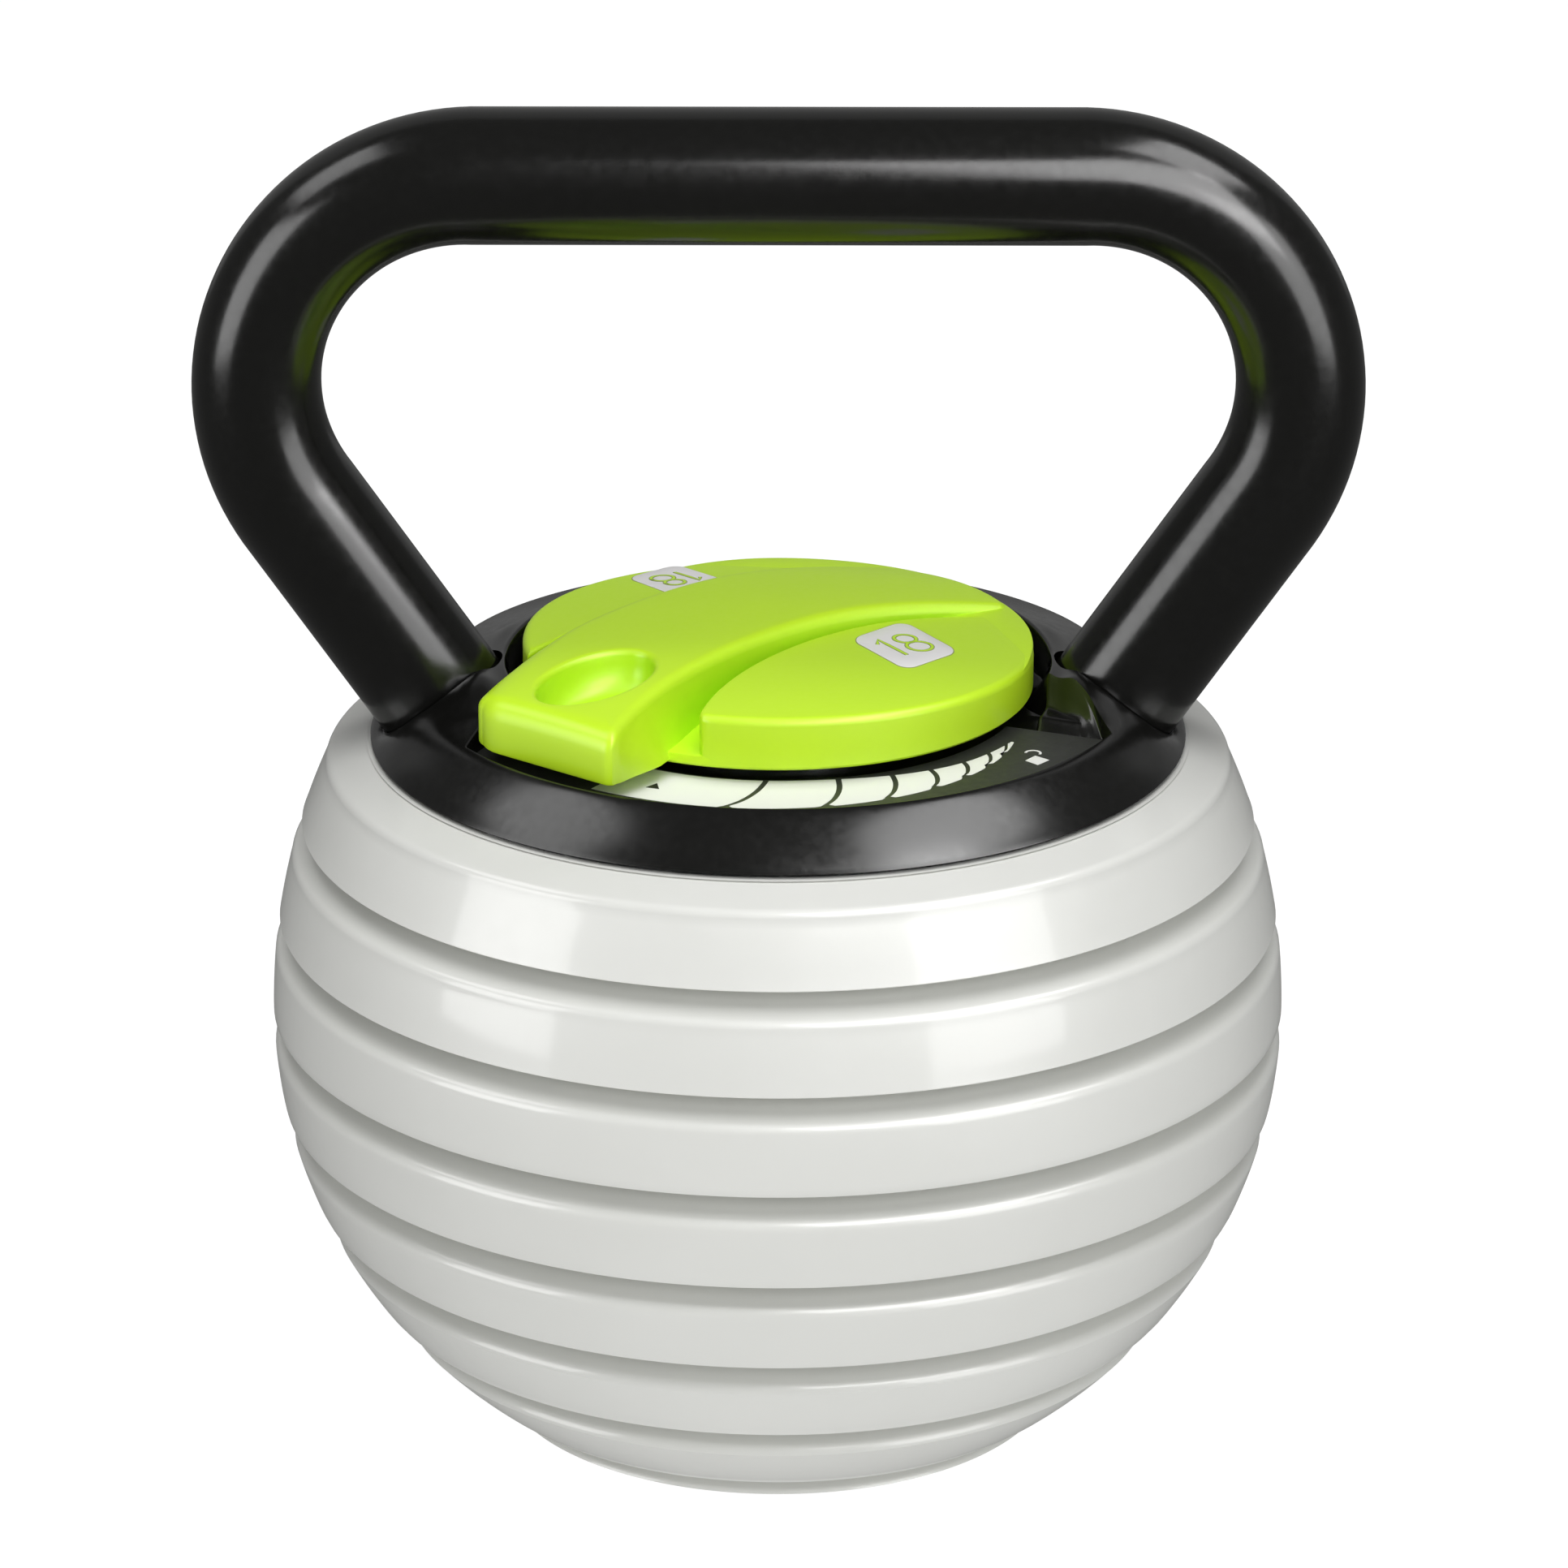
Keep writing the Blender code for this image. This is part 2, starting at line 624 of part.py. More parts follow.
def handle_foot(side, label):
    """The slug welded into one foot, and the bolt and washer that hold it down."""
    slug_radius = TUBE_RADIUS - TUBE_WALL - GAP
    length = foot_distance()
    rod = leg_rod(side, slug_radius, length - SLUG_LENGTH, length, 12, HOUSING_BOTTOM)
    slug = finish(f"handle_slug_{label}", rod, "steel")
    place = (side * HANDLE_BOLT_X, 0.0)
    tip = HOUSING_BOTTOM + BOLT_END
    cut(slug, [disc(BOLT_HOLE_RADIUS, HOUSING_BOTTOM - THROUGH, tip + 0.6, 12, place)])
    washer_top = CHASSIS_BOTTOM - STACK_GAP
    washer_bottom = washer_top - WASHER_HEIGHT
    hole = BOLT_RADIUS + 0.5
    ring = [(hole, washer_bottom), (WASHER_RADIUS, washer_bottom), (WASHER_RADIUS, washer_top),
            (hole, washer_top)]
    finish(f"bolt_washer_{label}", lathe(ring, 12, place), "steel")
    head_top = washer_bottom - STACK_GAP
    head_bottom = head_top - BOLT_HEAD_HEIGHT
    socket = head_bottom + BOLT_SOCKET_DEPTH
    bolt = [(0, tip), (BOLT_RADIUS, tip), (BOLT_RADIUS, head_top), (BOLT_HEAD_RADIUS, head_top),
            (BOLT_HEAD_RADIUS, head_bottom), (BOLT_SOCKET_RADIUS, head_bottom),
            (BOLT_SOCKET_RADIUS, socket), (0, socket)]
    finish(f"handle_bolt_{label}", lathe(bolt, 12, place), "steel")


def screw(name, place, head_bottom, head_height, tip, shank_radius, head_radius, parent=None):
    """A socket screw that points up, its head below."""
    head_top = head_bottom + head_height
    socket = 0.45 * head_height
    profile = [(0, tip), (shank_radius, tip), (shank_radius, head_top), (head_radius, head_top),
               (head_radius, head_bottom), (0.5 * head_radius, head_bottom),
               (0.5 * head_radius, head_bottom + socket), (0, head_bottom + socket)]
    finish(name, lathe(profile, 8, place), "steel", parent)


def body_screws():
    """Screws that hold plate 1, the housing and the detent spring to the chassis plate."""
    web = plate_bottom(1) + TOP_POCKET_DEPTH
    under_web = web - GAP - PLATE_SCREW_HEAD_HEIGHT
    for number, place in enumerate(plate_screw_places(), 1):
        screw(f"plate_screw_{number}", place, under_web, PLATE_SCREW_HEAD_HEIGHT, CHASSIS_TOP - GAP,
              PLATE_SCREW_SHANK, PLATE_SCREW_HEAD)
    sunk = CHASSIS_BOTTOM + 0.1
    for number, place in enumerate(housing_screw_places(), 1):
        screw(f"housing_screw_{number}", place, sunk, SCREW_HEAD_HEIGHT, HOUSING_SCREW_TIP,
              SCREW_SHANK, SCREW_HEAD)
    screw("detent_spring_screw", polar(*SPRING_FOOT), sunk, SCREW_HEAD_HEIGHT, SPRING_SCREW_TIP,
          SCREW_SHANK, SCREW_HEAD)


def spindle_bearing():
    """Flanged bush in the chassis plate and the thrust washer on it."""
    flange_bottom = CHASSIS_TOP + STACK_GAP
    flange_top = flange_bottom + 1.1
    washer_bottom = flange_top + STACK_GAP
    washer_top = washer_bottom + 1.0
    bush = [(BUSH_INNER_RADIUS, CHASSIS_BOTTOM), (BUSH_OUTER_RADIUS, CHASSIS_BOTTOM),
            (BUSH_OUTER_RADIUS, flange_bottom), (BUSH_FLANGE_RADIUS, flange_bottom),
            (BUSH_FLANGE_RADIUS, flange_top), (BUSH_INNER_RADIUS, flange_top)]
    finish("spindle_bush", lathe(bush, 20), "brass")
    washer = [(BUSH_INNER_RADIUS, washer_bottom), (BUSH_FLANGE_RADIUS, washer_bottom),
              (BUSH_FLANGE_RADIUS, washer_top), (BUSH_INNER_RADIUS, washer_top)]
    finish("thrust_washer", lathe(washer, 20), "steel")


def detent_spring():
    """Leaf spring held at one end by a screw, its free end at the detent wheel."""
    bottom, top = CHASSIS_TOP + 0.4, CAVITY_TOP - 0.4
    foot = polar(*SPRING_FOOT)
    inner_radius = WHEEL_RADIUS + SPRING_CLEARANCE
    outer_radius = inner_radius + SPRING_THICKNESS
    free_end, fixed_end = DETENT_ANGLE - 6.0, DETENT_ANGLE + 34.0
    outline = arc(outer_radius, free_end, fixed_end, 8)
    outline += arc(inner_radius, fixed_end, DETENT_ANGLE + 6.0, 5)
    outline.append(polar(inner_radius, DETENT_ANGLE + NOTCH_HALF_ANGLE))
    outline.append(polar(WHEEL_RADIUS + SPRING_TIP_CLEARANCE, DETENT_ANGLE))
    outline.append(polar(inner_radius, DETENT_ANGLE - NOTCH_HALF_ANGLE))
    outline.append(polar(inner_radius, free_end))
    spring = finish("detent_spring", prism(outline, bottom, top), "steel")
    arm = sector(inner_radius + 0.4, SPRING_FOOT[0] - 1.0, fixed_end - 2.0, SPRING_FOOT[1] - 4.0, 3)
    cut(spring, [prism(arm, bottom, top)], "UNION")
    cut(spring, [disc(SPRING_FOOT_RADIUS, bottom, top, 12, foot)], "UNION")
    cut(spring, [disc(SCREW_HOLE, bottom - THROUGH, top + THROUGH, 8, foot)])


def lug_levels():
    """Heights of the lugs' undersides: one pair under each releasable ledge."""
    levels = [plate_bottom(number) + LEDGE_Z - 0.5 - LUG_HEIGHT for number in range(2, PLATE_COUNT + 1)]
    return levels + [BASE_LUG_BOTTOM]


def spindle(dial):
    """Steel spindle: a flange under the dial and a pair of lugs for each plate."""
    flange_bottom, flange_top = SPINDLE_FLANGE_BOTTOM, DIAL_BOTTOM - GAP
    groove_top = RING_GROOVE_Z + RING_GROOVE_HEIGHT
    profile = [
        (0, SPINDLE_BOTTOM),
        (SPINDLE_RADIUS, SPINDLE_BOTTOM),
        (SPINDLE_RADIUS, RING_GROOVE_Z),
        (SPINDLE_RADIUS - 1.0, RING_GROOVE_Z),
        (SPINDLE_RADIUS - 1.0, groove_top),
        (SPINDLE_RADIUS, groove_top),
        (SPINDLE_RADIUS, flange_bottom),
        (SPINDLE_FLANGE_RADIUS, flange_bottom),
        (SPINDLE_FLANGE_RADIUS, flange_top),
        (0, flange_top),
    ]
    made = finish("spindle", lathe(profile, 24), "steel", dial)
    lugs = []
    for bottom in lug_levels():
        height = BASE_LUG_HEIGHT if bottom == BASE_LUG_BOTTOM else LUG_HEIGHT
        for side in (0.0, 180.0):
            middle = LUG_START_ANGLE + side
            outline = sector(SPINDLE_RADIUS - 4.0, LUG_RADIUS, middle - LUG_HALF_ANGLE,
                             middle + LUG_HALF_ANGLE, 2)
            lugs.append(prism(outline, bottom, bottom + height))
    cut(made, lugs, "UNION")
    low, high = flange_bottom - THROUGH, flange_top + THROUGH
    cut(made, [disc(SCREW_HOLE, low, high, 8, at) for at in dial_screw_places()])
    ring = sector(SPINDLE_RADIUS - 0.6, RING_RADIUS, 20.0, 340.0, 16)
    shape = prism(ring, RING_GROOVE_Z + GAP, groove_top - GAP)
    finish("retaining_ring", shape, "steel", dial)


def dial_screw_places():
    return [polar(DIAL_SCREW_CIRCLE, angle) for angle in DIAL_SCREW_ANGLES]


def detent_wheel(dial):
    """Wheel with one notch for each dial position."""
    outline = []
    for notch in range(CLICKS + 1):
        middle = DETENT_ANGLE - CLICK_ANGLE * notch
        outline.append(polar(WHEEL_RADIUS, middle + NOTCH_HALF_ANGLE))
        outline.append(polar(WHEEL_RADIUS - NOTCH_DEPTH, middle))
        outline.append(polar(WHEEL_RADIUS, middle - NOTCH_HALF_ANGLE))
    start = DETENT_ANGLE - CLICK_ANGLE * CLICKS - 10.0
    outline += arc(WHEEL_RADIUS, start, start - 250.0, 16)
    wheel = finish("detent_wheel", prism(outline, WHEEL_BOTTOM, WHEEL_TOP), "steel", dial)
    places = dial_screw_places()
    low, high = WHEEL_BOTTOM - THROUGH, WHEEL_TOP + THROUGH
    holes = [disc(SPINDLE_RADIUS + GAP, low, high, 24)]
    holes += [disc(SCREW_HOLE, low, high, 8, at) for at in places]
    cut(wheel, holes)
    sink_top = WHEEL_BOTTOM + DIAL_SCREW_HEAD_HEIGHT + 0.4
    cut(wheel, [disc(DIAL_SCREW_SINK_RADIUS, low, sink_top, 8, at) for at in places])
    for number, place in enumerate(places, 1):
        screw(f"dial_screw_{number}", place, WHEEL_BOTTOM + 0.1, DIAL_SCREW_HEAD_HEIGHT,
              DIAL_BOTTOM + DIAL_SCREW_REACH, SCREW_SHANK, DIAL_SCREW_HEAD, dial)


def bar_edge(radius, start, end, steps):
    return arc(radius, start, end, steps, BAR_ARC_CENTRE)


def bar_crest(x, y):
    """Height of the bar's crowned top over a point."""
    along, across = polar(1.0, BAR_DIRECTION)
    ahead = x * along + y * across
    if ahead < 0.0:
        reach, end_z = BAR_FRONT_REACH, BAR_END_Z
    else:
        reach, end_z = BAR_BACK_REACH, BAR_BACK_Z
    return BAR_CREST_Z - (BAR_CREST_Z - end_z) * min(1.0, (ahead / reach) ** 2)


def dial_bar():
    """Curved bar across the dial, running out into the nose."""
    inner = bar_edge(BAR_INNER_RADIUS, 160.0, 113.0, 9)
    outer = bar_edge(BAR_OUTER_RADIUS, 159.5, 122.0, 9)
    shape = bmesh.new()
    rows = []
    for near, far in zip(inner, outer):
        row = []
        for height in (0.0, 1.0):
            for point in (near, far):
                x, y = point
                z = bar_crest(x, y) if height else BAR_BOTTOM
                row.append(shape.verts.new((x, y, z)))
        rows.append((row[0], row[1], row[3], row[2]))
    for one, other in zip(rows, rows[1:]):
        for index in range(4):
            after = (index + 1) % 4
            shape.faces.new((one[index], one[after], other[after], other[index]))
    shape.faces.new(rows[0])
    shape.faces.new(rows[-1])
    return shape


def groove(radius, start, end):
    """Strip along one side of the bar."""
    outline = bar_edge(radius, start, end, 10) + bar_edge(radius - GROOVE_WIDTH, end, start, 10)
    return prism(outline, GROOVE_FLOOR, BAR_CREST_Z + 3.0)


def finger_hole():
    """Oval recess in the nose."""
    outline = []
    for step in range(20):
        angle = 2.0 * math.pi * step / 20
        along, across = HOLE_HALF[0] * math.cos(angle), HOLE_HALF[1] * math.sin(angle)
        tilt = math.radians(HOLE_ANGLE)
        x = HOLE_CENTRE[0] + along * math.cos(tilt) - across * math.sin(tilt)
        y = HOLE_CENTRE[1] + along * math.sin(tilt) + across * math.cos(tilt)
        outline.append((x, y))
    return prism(outline, HOLE_FLOOR, BAR_CREST_Z + 3.0)


def nose_trim():
    """Block that trims the bar to a straight nose face."""
    tilt = math.radians(NOSE_ANGLE)
    ahead = Vector((math.cos(tilt), math.sin(tilt), 0.0))
    across = Vector((-ahead.y, ahead.x, 0.0))
    corners = []
    for reach, wide in ((0.0, -40.0), (30.0, -40.0), (30.0, 40.0), (0.0, 40.0)):
        point = (NOSE_REACH + reach) * ahead + wide * across
        corners.append((point.x, point.y))
    return prism(corners, BAR_BOTTOM - 2.0, BAR_CREST_Z + 3.0)


def dial_knob(dial):
    """Green dial: a disc with two lobes, and a raised bar between two grooves."""
    wall, hollow = DIAL_RADIUS - DIAL_WALL, DIAL_BOTTOM + DIAL_HOLLOW
    profile = [
        (wall, DIAL_BOTTOM),
        (DIAL_RADIUS, DIAL_BOTTOM),
        (DIAL_RADIUS, DIAL_RIM_Z - DIAL_EDGE),
        (DIAL_RADIUS - DIAL_EDGE, DIAL_RIM_Z),
        (0, DIAL_RIM_Z + DIAL_CROWN),
        (0, DIAL_BOTTOM),
        (DIAL_HUB_RADIUS, DIAL_BOTTOM),
        (DIAL_HUB_RADIUS, hollow),
        (wall, hollow),
    ]
    knob = finish("dial_knob", lathe(profile, 40), "green_plastic", dial)
    inner_groove = groove(BAR_INNER_RADIUS, 168.0, 108.0)
    outer_groove = groove(BAR_OUTER_RADIUS + GROOVE_WIDTH, 165.0, 115.0)
    cut(knob, [inner_groove, outer_groove])
    cut(knob, [dial_bar()], "UNION")
    cut(knob, [nose_trim()])
    cut(knob, [finger_hole()])
    low, high = DIAL_BOTTOM - THROUGH, DIAL_BOTTOM + DIAL_SCREW_REACH + 0.4
    cut(knob, [disc(SCREW_HOLE, low, high, 8, at) for at in dial_screw_places()])


def weight_badge(dial, number, x, y, turn):
    """Thin plate with rounded corners on a lobe, for the weight number."""
    corners = []
    for corner in range(4):
        side_x = BADGE_HALF[0] if corner in (0, 3) else -BADGE_HALF[0]
        side_y = BADGE_HALF[1] if corner in (0, 1) else -BADGE_HALF[1]
        middle = (side_x - math.copysign(BADGE_ROUND, side_x),
                  side_y - math.copysign(BADGE_ROUND, side_y))
        corners += arc(BADGE_ROUND, 90.0 * corner, 90.0 * corner + 90.0, 3, middle)
    along = Vector(polar(1.0, BADGE_AXES[0] + turn))
    up = Vector(polar(1.0, BADGE_AXES[1] + turn))
    outline = [Vector((x, y)) + u * along + v * up for u, v in corners]
    bottom = DIAL_RIM_Z + DIAL_CROWN - 0.05
    top = bottom + BADGE_THICKNESS
    finish(f"weight_badge_{number}", prism(outline, bottom, top), "scale_print", dial)


def build():
    clear_scene()
    base_plate()
    for number in range(2, PLATE_COUNT + 1):
        loose_plate(number)
    top_plate()
    chassis_plate()
    top_housing()
    scale_ring()
    handle()
    handle_foot(1, "right")
    handle_foot(-1, "left")
    body_screws()
    spindle_bearing()
    detent_spring()
    dial = bpy.data.objects.new("dial_axis", None)
    bpy.context.scene.collection.objects.link(dial)
    spindle(dial)
    detent_wheel(dial)
    dial_knob(dial)
    for number, (x, y, turn) in enumerate(BADGE_PLACES, 1):
        weight_badge(dial, number, x, y, turn)


build()
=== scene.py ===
"""Looks of the adjustable kettlebell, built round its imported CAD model.

Shapes are worked out in millimetres in the frame's own axes and scaled by MM when a
mesh is made.  +Z is up, +X runs along the grip, and the dial turns about the Z axis.
"""
from math import acos, atan2, cos, degrees, hypot, pi, radians, sin, sqrt

import bmesh
import bpy
from mathutils import Matrix, Vector


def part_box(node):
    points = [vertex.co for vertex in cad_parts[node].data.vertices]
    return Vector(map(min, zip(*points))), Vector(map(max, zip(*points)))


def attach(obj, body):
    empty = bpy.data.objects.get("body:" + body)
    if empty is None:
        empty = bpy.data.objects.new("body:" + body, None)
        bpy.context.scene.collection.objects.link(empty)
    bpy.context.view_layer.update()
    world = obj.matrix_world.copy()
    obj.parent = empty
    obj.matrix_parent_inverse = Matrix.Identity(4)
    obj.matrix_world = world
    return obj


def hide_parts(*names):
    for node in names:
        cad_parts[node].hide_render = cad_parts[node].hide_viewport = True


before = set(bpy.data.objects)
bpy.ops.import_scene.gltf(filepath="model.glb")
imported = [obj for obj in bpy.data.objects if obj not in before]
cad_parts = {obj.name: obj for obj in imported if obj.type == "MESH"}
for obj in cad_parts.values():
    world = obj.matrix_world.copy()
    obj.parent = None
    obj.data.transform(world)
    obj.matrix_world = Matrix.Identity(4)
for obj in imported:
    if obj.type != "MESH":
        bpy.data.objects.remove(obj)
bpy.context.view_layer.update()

MM = 0.001
WELD = 0.004  # points closer than this many millimetres are merged


def box_mm(node):
    """Lowest and highest corner of a CAD node in millimetres."""
    low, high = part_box(node)
    return low / MM, high / MM


# Ball: one outline for all plates, a quarter ellipse above and below the equator
BALL_RADIUS = 105.4
EQUATOR_Z = 92.0
BALL_BELOW = 103.0
BALL_ABOVE = 118.0
PLATE_COUNT = 7
LATHE_STEPS = 180
RIM_HEIGHT = 15.2  # a plate's upper rim over its lower edge
RIM_ROUND = 2.4
LOWER_EDGE = 0.35
WALL_STEPS = 9
NECK_INSET = 10.0
NECK_ROUND = 1.2
NECK_STEPS = 4
NECK_DROP = 1.9
BOSS_RADIUS = 26.0
BOSS_HEIGHT = 2.1
BORE_RADIUS = 10.5
KEY_RADIUS = 18.5
LEDGE_HEIGHT = 12.0
BASE_RIM_HEIGHT = 5.6
BASE_LEDGE_HEIGHT = 6.4
POCKET_DEPTH = 13.7
TOP_POCKET_DEPTH = 8.0
RING_RADIUS, RING_DEPTH = 15.0, 4.5  # plate 1's recess for the retaining ring
POCKET_INNER = 30.5
POCKET_WALL = 12.0
LUG_START = 40.0
SLOT_HALF = 16.5  # half of a lug's angle and its clearance
SLOT_RADIUS = 17.9
CLICK_ANGLE = 10.5
CLICKS = 7

# Head casing
CASING_BOTTOM = box_mm("top_housing")[0].z
CASING_RADIUS = box_mm("top_housing")[1].y
CASING_RIM_RADIUS = 74.5
CASING_RIM_Z = 162.0
CONE_BULGE = 0.35
WELL_RADIUS = 56.2
WELL_EDGE_Z = 168.6
WELL_FLOOR = 158.2
WELL_ROUND = 0.9
SPINDLE_HOLE = 27.0
CAVITY_RADIUS = 34.0
CAVITY_TOP = 156.4
SEAT_X, SEAT_Z = 57.6, 170.2  # inner end of the flat that a leg stands on
SEAT_DROP = 0.81  # its fall for each millimetre outwards
SEAT_LEAN = 0.304  # its rise for each millimetre towards the front
SEAT_REACH = (-4.0, 16.0)  # how far behind and before the leg's axis it goes on rising
SEAT_CREST = 170.2  # top of the swelling that carries the surface up to the seat
SCALE_POCKET_RADIUS = 73.3
POCKET_STEEPNESS = 9.0
POCKET_END, LEDGE_END = 349.2, 340.6  # angles of the pocket's right end and of its ledge at the well
LEDGE_Z = 161.7
SCALE_TOP = box_mm("scale_ring")[1].z

# Handle tube
GRIP_HALF = 61.9
GRIP_Z = 270.4
BEND_RADIUS = 44.2
BEND_ANGLE = 124.6
TUBE_RADIUS = 13.9
BEND_TUBE_RADIUS = 13.0
TUBE_WALL = 2.6
TUBE_SIDES = 72
LEG_BORE_SPAN = (20.0, 80.0)  # both ends of the bore's cutter, measured down the leg
LEG_BORE_SHIFT = 0.5
LEG_BORE_ROOM = 0.75
LEG_BORE_SIDES = 64

# Dial
DIAL_RADIUS = 52.6
DIAL_BOTTOM = box_mm("dial_knob")[0].z
LOBE_MIDDLE_Z = 174.2
LOBE_RIM_Z = 173.2
LOBE_BACK_FALL = 2.8  # how much lower the lobes' rim is at the back
GROOVE_CENTRE = Vector((66.3, -65.9))  # arc of the front lobe's side by the bar
GROOVE_RADIUS = 84.0
BAR_CENTRE = Vector((85.0, -97.0))
BAR_INNER = 122.0
BAR_OUTER = 157.0
BAR_BOTTOM = 163.0
BAR_END_Z = 174.2
BAR_BACK_Z = 172.2
BAR_CREST_Z = 177.6
BAR_DIRECTION = 50.0
BAR_FRONT_REACH = 70.0  # from the axis to where the bar's top has come down to BAR_END_Z
BAR_BACK_REACH = 52.0
BAR_FLARE = 4.5  # how far the foot of its front side stands out behind the nose
NOSE_ANGLE = 231.0
NOSE_REACH = 70.5
GROOVE_WIDTH = 2.6
BASE_INSET = 0.12
GROOVE_FRONT_Z, GROOVE_BACK_Z = 164.6, 171.6
FRONT_LOBE, REAR_LOBE = Vector((24.0, -20.0)), Vector((-27.5, 33.0))  # a point well inside each
BAR_ROWS, BAR_COLUMNS = 84, 24  # of its mesh, without the rounded edges
HOLE_CENTRE = Vector((-36.8, -34.2))
HOLE_HALF = (15.0, 9.2)
HOLE_TURN = 52.0
HOLE_DEPTH = 9.0
HOLE_MARGIN = 2.6  # width of the mesh that the recess's lip replaces round it
BADGE_HALF = (8.4, 10.0)
BADGE_ROUND = 3.4
# x, y, turn and size of each badge on the dial
BADGE_PLACES = ((25.9, -8.8, 0.0, 1.0), (-21.6, 35.2, 180.0, 0.92))
BADGE_AXES = (49.0, 124.0)  # headings of the field's two directions, and of the figures in it
FIGURE_AXES = (38.0, 126.0)


def polar(radius, heading, z=None):
    angle = radians(heading)
    flat = (radius * cos(angle), radius * sin(angle))
    return Vector(flat) if z is None else Vector((*flat, z))


def corner_angle(one, other, opposite):
    """Angle in degrees between two sides of a triangle."""
    return degrees(acos((one ** 2 + other ** 2 - opposite ** 2) / (2.0 * one * other)))


def mix(one, other, share):
    return one + (other - one) * share


def smoothstep(value, low, high):
    share = min(1.0, max(0.0, (value - low) / (high - low)))
    return share * share * (3.0 - 2.0 * share)


def soft_min(one, other, blend):
    """The lower of two heights, with a round blend where they meet."""
    return 0.5 * (one + other - sqrt((one - other) ** 2 + blend * blend))


def soft_max(one, other, blend):
    return -soft_min(-one, -other, blend)


# -------- mesh making

class Shape:
    """Points and faces gathered row by row."""

    def __init__(self):
        self.points = []
        self.faces = []

    def row(self, points):
        start = len(self.points)
        self.points.extend(tuple(point) for point in points)
        return list(range(start, len(self.points)))

    def join(self, one, other, closed=True):
        """Quads between two rows of the same length."""
        count = len(one) if closed else len(one) - 1
        for index in range(count):
            after = (index + 1) % len(one)
            self.faces.append((one[index], one[after], other[after], other[index]))

    def skin(self, rows, closed=True):
        made = [self.row(points) for points in rows]
        for one, other in zip(made, made[1:]):
            self.join(one, other, closed)
        return made

    def fan(self, row, middle):
        """Close a ring with triangles to one point."""
        tip = self.row([middle])[0]
        for index in range(len(row)):
            self.faces.append((row[index], row[(index + 1) % len(row)], tip))


def mesh_of(name, shape):
    """Mesh in metres, with doubled points merged and its faces turned outwards."""
    mesh = bpy.data.meshes.new(name)
    mesh.from_pydata([Vector(point) * MM for point in shape.points], [], shape.faces)
    tidy = bmesh.new()
    tidy.from_mesh(mesh)
    bmesh.ops.remove_doubles(tidy, verts=tidy.verts, dist=WELD * MM)
    bmesh.ops.recalc_face_normals(tidy, faces=tidy.faces)
    tidy.to_mesh(mesh)
    tidy.free()
    return mesh


def linked(name, data):
    """New object in the scene."""
    made = bpy.data.objects.new(name, data)
    bpy.context.scene.collection.objects.link(made)
    return made


def piece(name, shape, material, body, nodes=(), sharp=32.0):
    """Turn a shape into an object that rides on a body and stands for CAD nodes."""
    mesh = mesh_of(name, shape)
    mesh.shade_smooth()
    mesh.set_sharp_from_angle(angle=radians(sharp))
    made = linked(name, mesh)
    mesh.materials.append(material)
    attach(made, body)
    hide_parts(*nodes)
    return made


def arc_points(centre, radius, start, end, steps):
    """Points of a circular arc in a profile plane, both ends included."""
    points = []
    for step in range(steps + 1):
        turn = radians(mix(start, end, step / steps))
        points.append((centre[0] + radius * cos(turn), centre[1] + radius * sin(turn)))
    return points


def border_of(rows):
    """The points round the edge of a patch of rows, in one ring."""
    right, left = [row[-1] for row in rows[1:]], [row[0] for row in rows[-2:0:-1]]
    return rows[0] + right + rows[-1][-2::-1] + left


def draped(flats, height, lift=0.0):
    """Flat points laid on the surface that height gives, or lifted off it."""
    return [Vector((*flat, height(*flat) + lift)) for flat in flats]


def lathe(profile):
    """Turn a closed profile of (radius, z); a radius may be a function of the angle."""
    shape = Shape()
    rows = []
    angles = [360.0 * step / LATHE_STEPS for step in range(LATHE_STEPS)]
    for radius, z in profile:
        rows.append([polar(radius(a) if callable(radius) else radius, a, z) for a in angles])
    made = shape.skin(rows)
    shape.join(made[-1], made[0])
    return shape


# -------- the ball

def ball_radius(z):
    reach = BALL_ABOVE if z > EQUATOR_Z else BALL_BELOW
    return BALL_RADIUS * sqrt(1.0 - ((z - EQUATOR_Z) / reach) ** 2)


def side_profile(bottom, rim_z, neck):
    """A plate's outer side: crisp lower edge, convex wall, rounded rim, sloping shoulder, neck."""
    low = ball_radius(bottom)
    profile = arc_points((low - LOWER_EDGE, bottom + LOWER_EDGE), LOWER_EDGE, 270.0, 345.0, 3)
    wall_top = rim_z - RIM_ROUND
    for step in range(1, WALL_STEPS + 1):
        z = mix(bottom + LOWER_EDGE, wall_top, step / WALL_STEPS)
        profile.append((ball_radius(z), z))
    rim = ball_radius(wall_top)
    fall = neck[1] - NECK_DROP
    shoulder = degrees(atan2(fall - rim_z, NECK_INSET - 0.8 * RIM_ROUND))
    profile += arc_points((rim - RIM_ROUND, wall_top), RIM_ROUND, 12.0, 90.0 - shoulder, 6)
    foot = (neck[0] + NECK_ROUND, fall + NECK_ROUND + 0.2)
    profile += arc_points(foot, NECK_ROUND, 255.0, 180.0, NECK_STEPS)
    profile.append(neck)
    return profile


def keyed_bore(click):
    """Bore radius by angle: wide where the lugs may pass once that click is reached."""
    first = LUG_START + CLICK_ANGLE * click - SLOT_HALF
    last = LUG_START + CLICK_ANGLE * CLICKS + SLOT_HALF

    def radius(angle):
        return SLOT_RADIUS if first <= angle % 180.0 <= last else BORE_RADIUS
    return radius


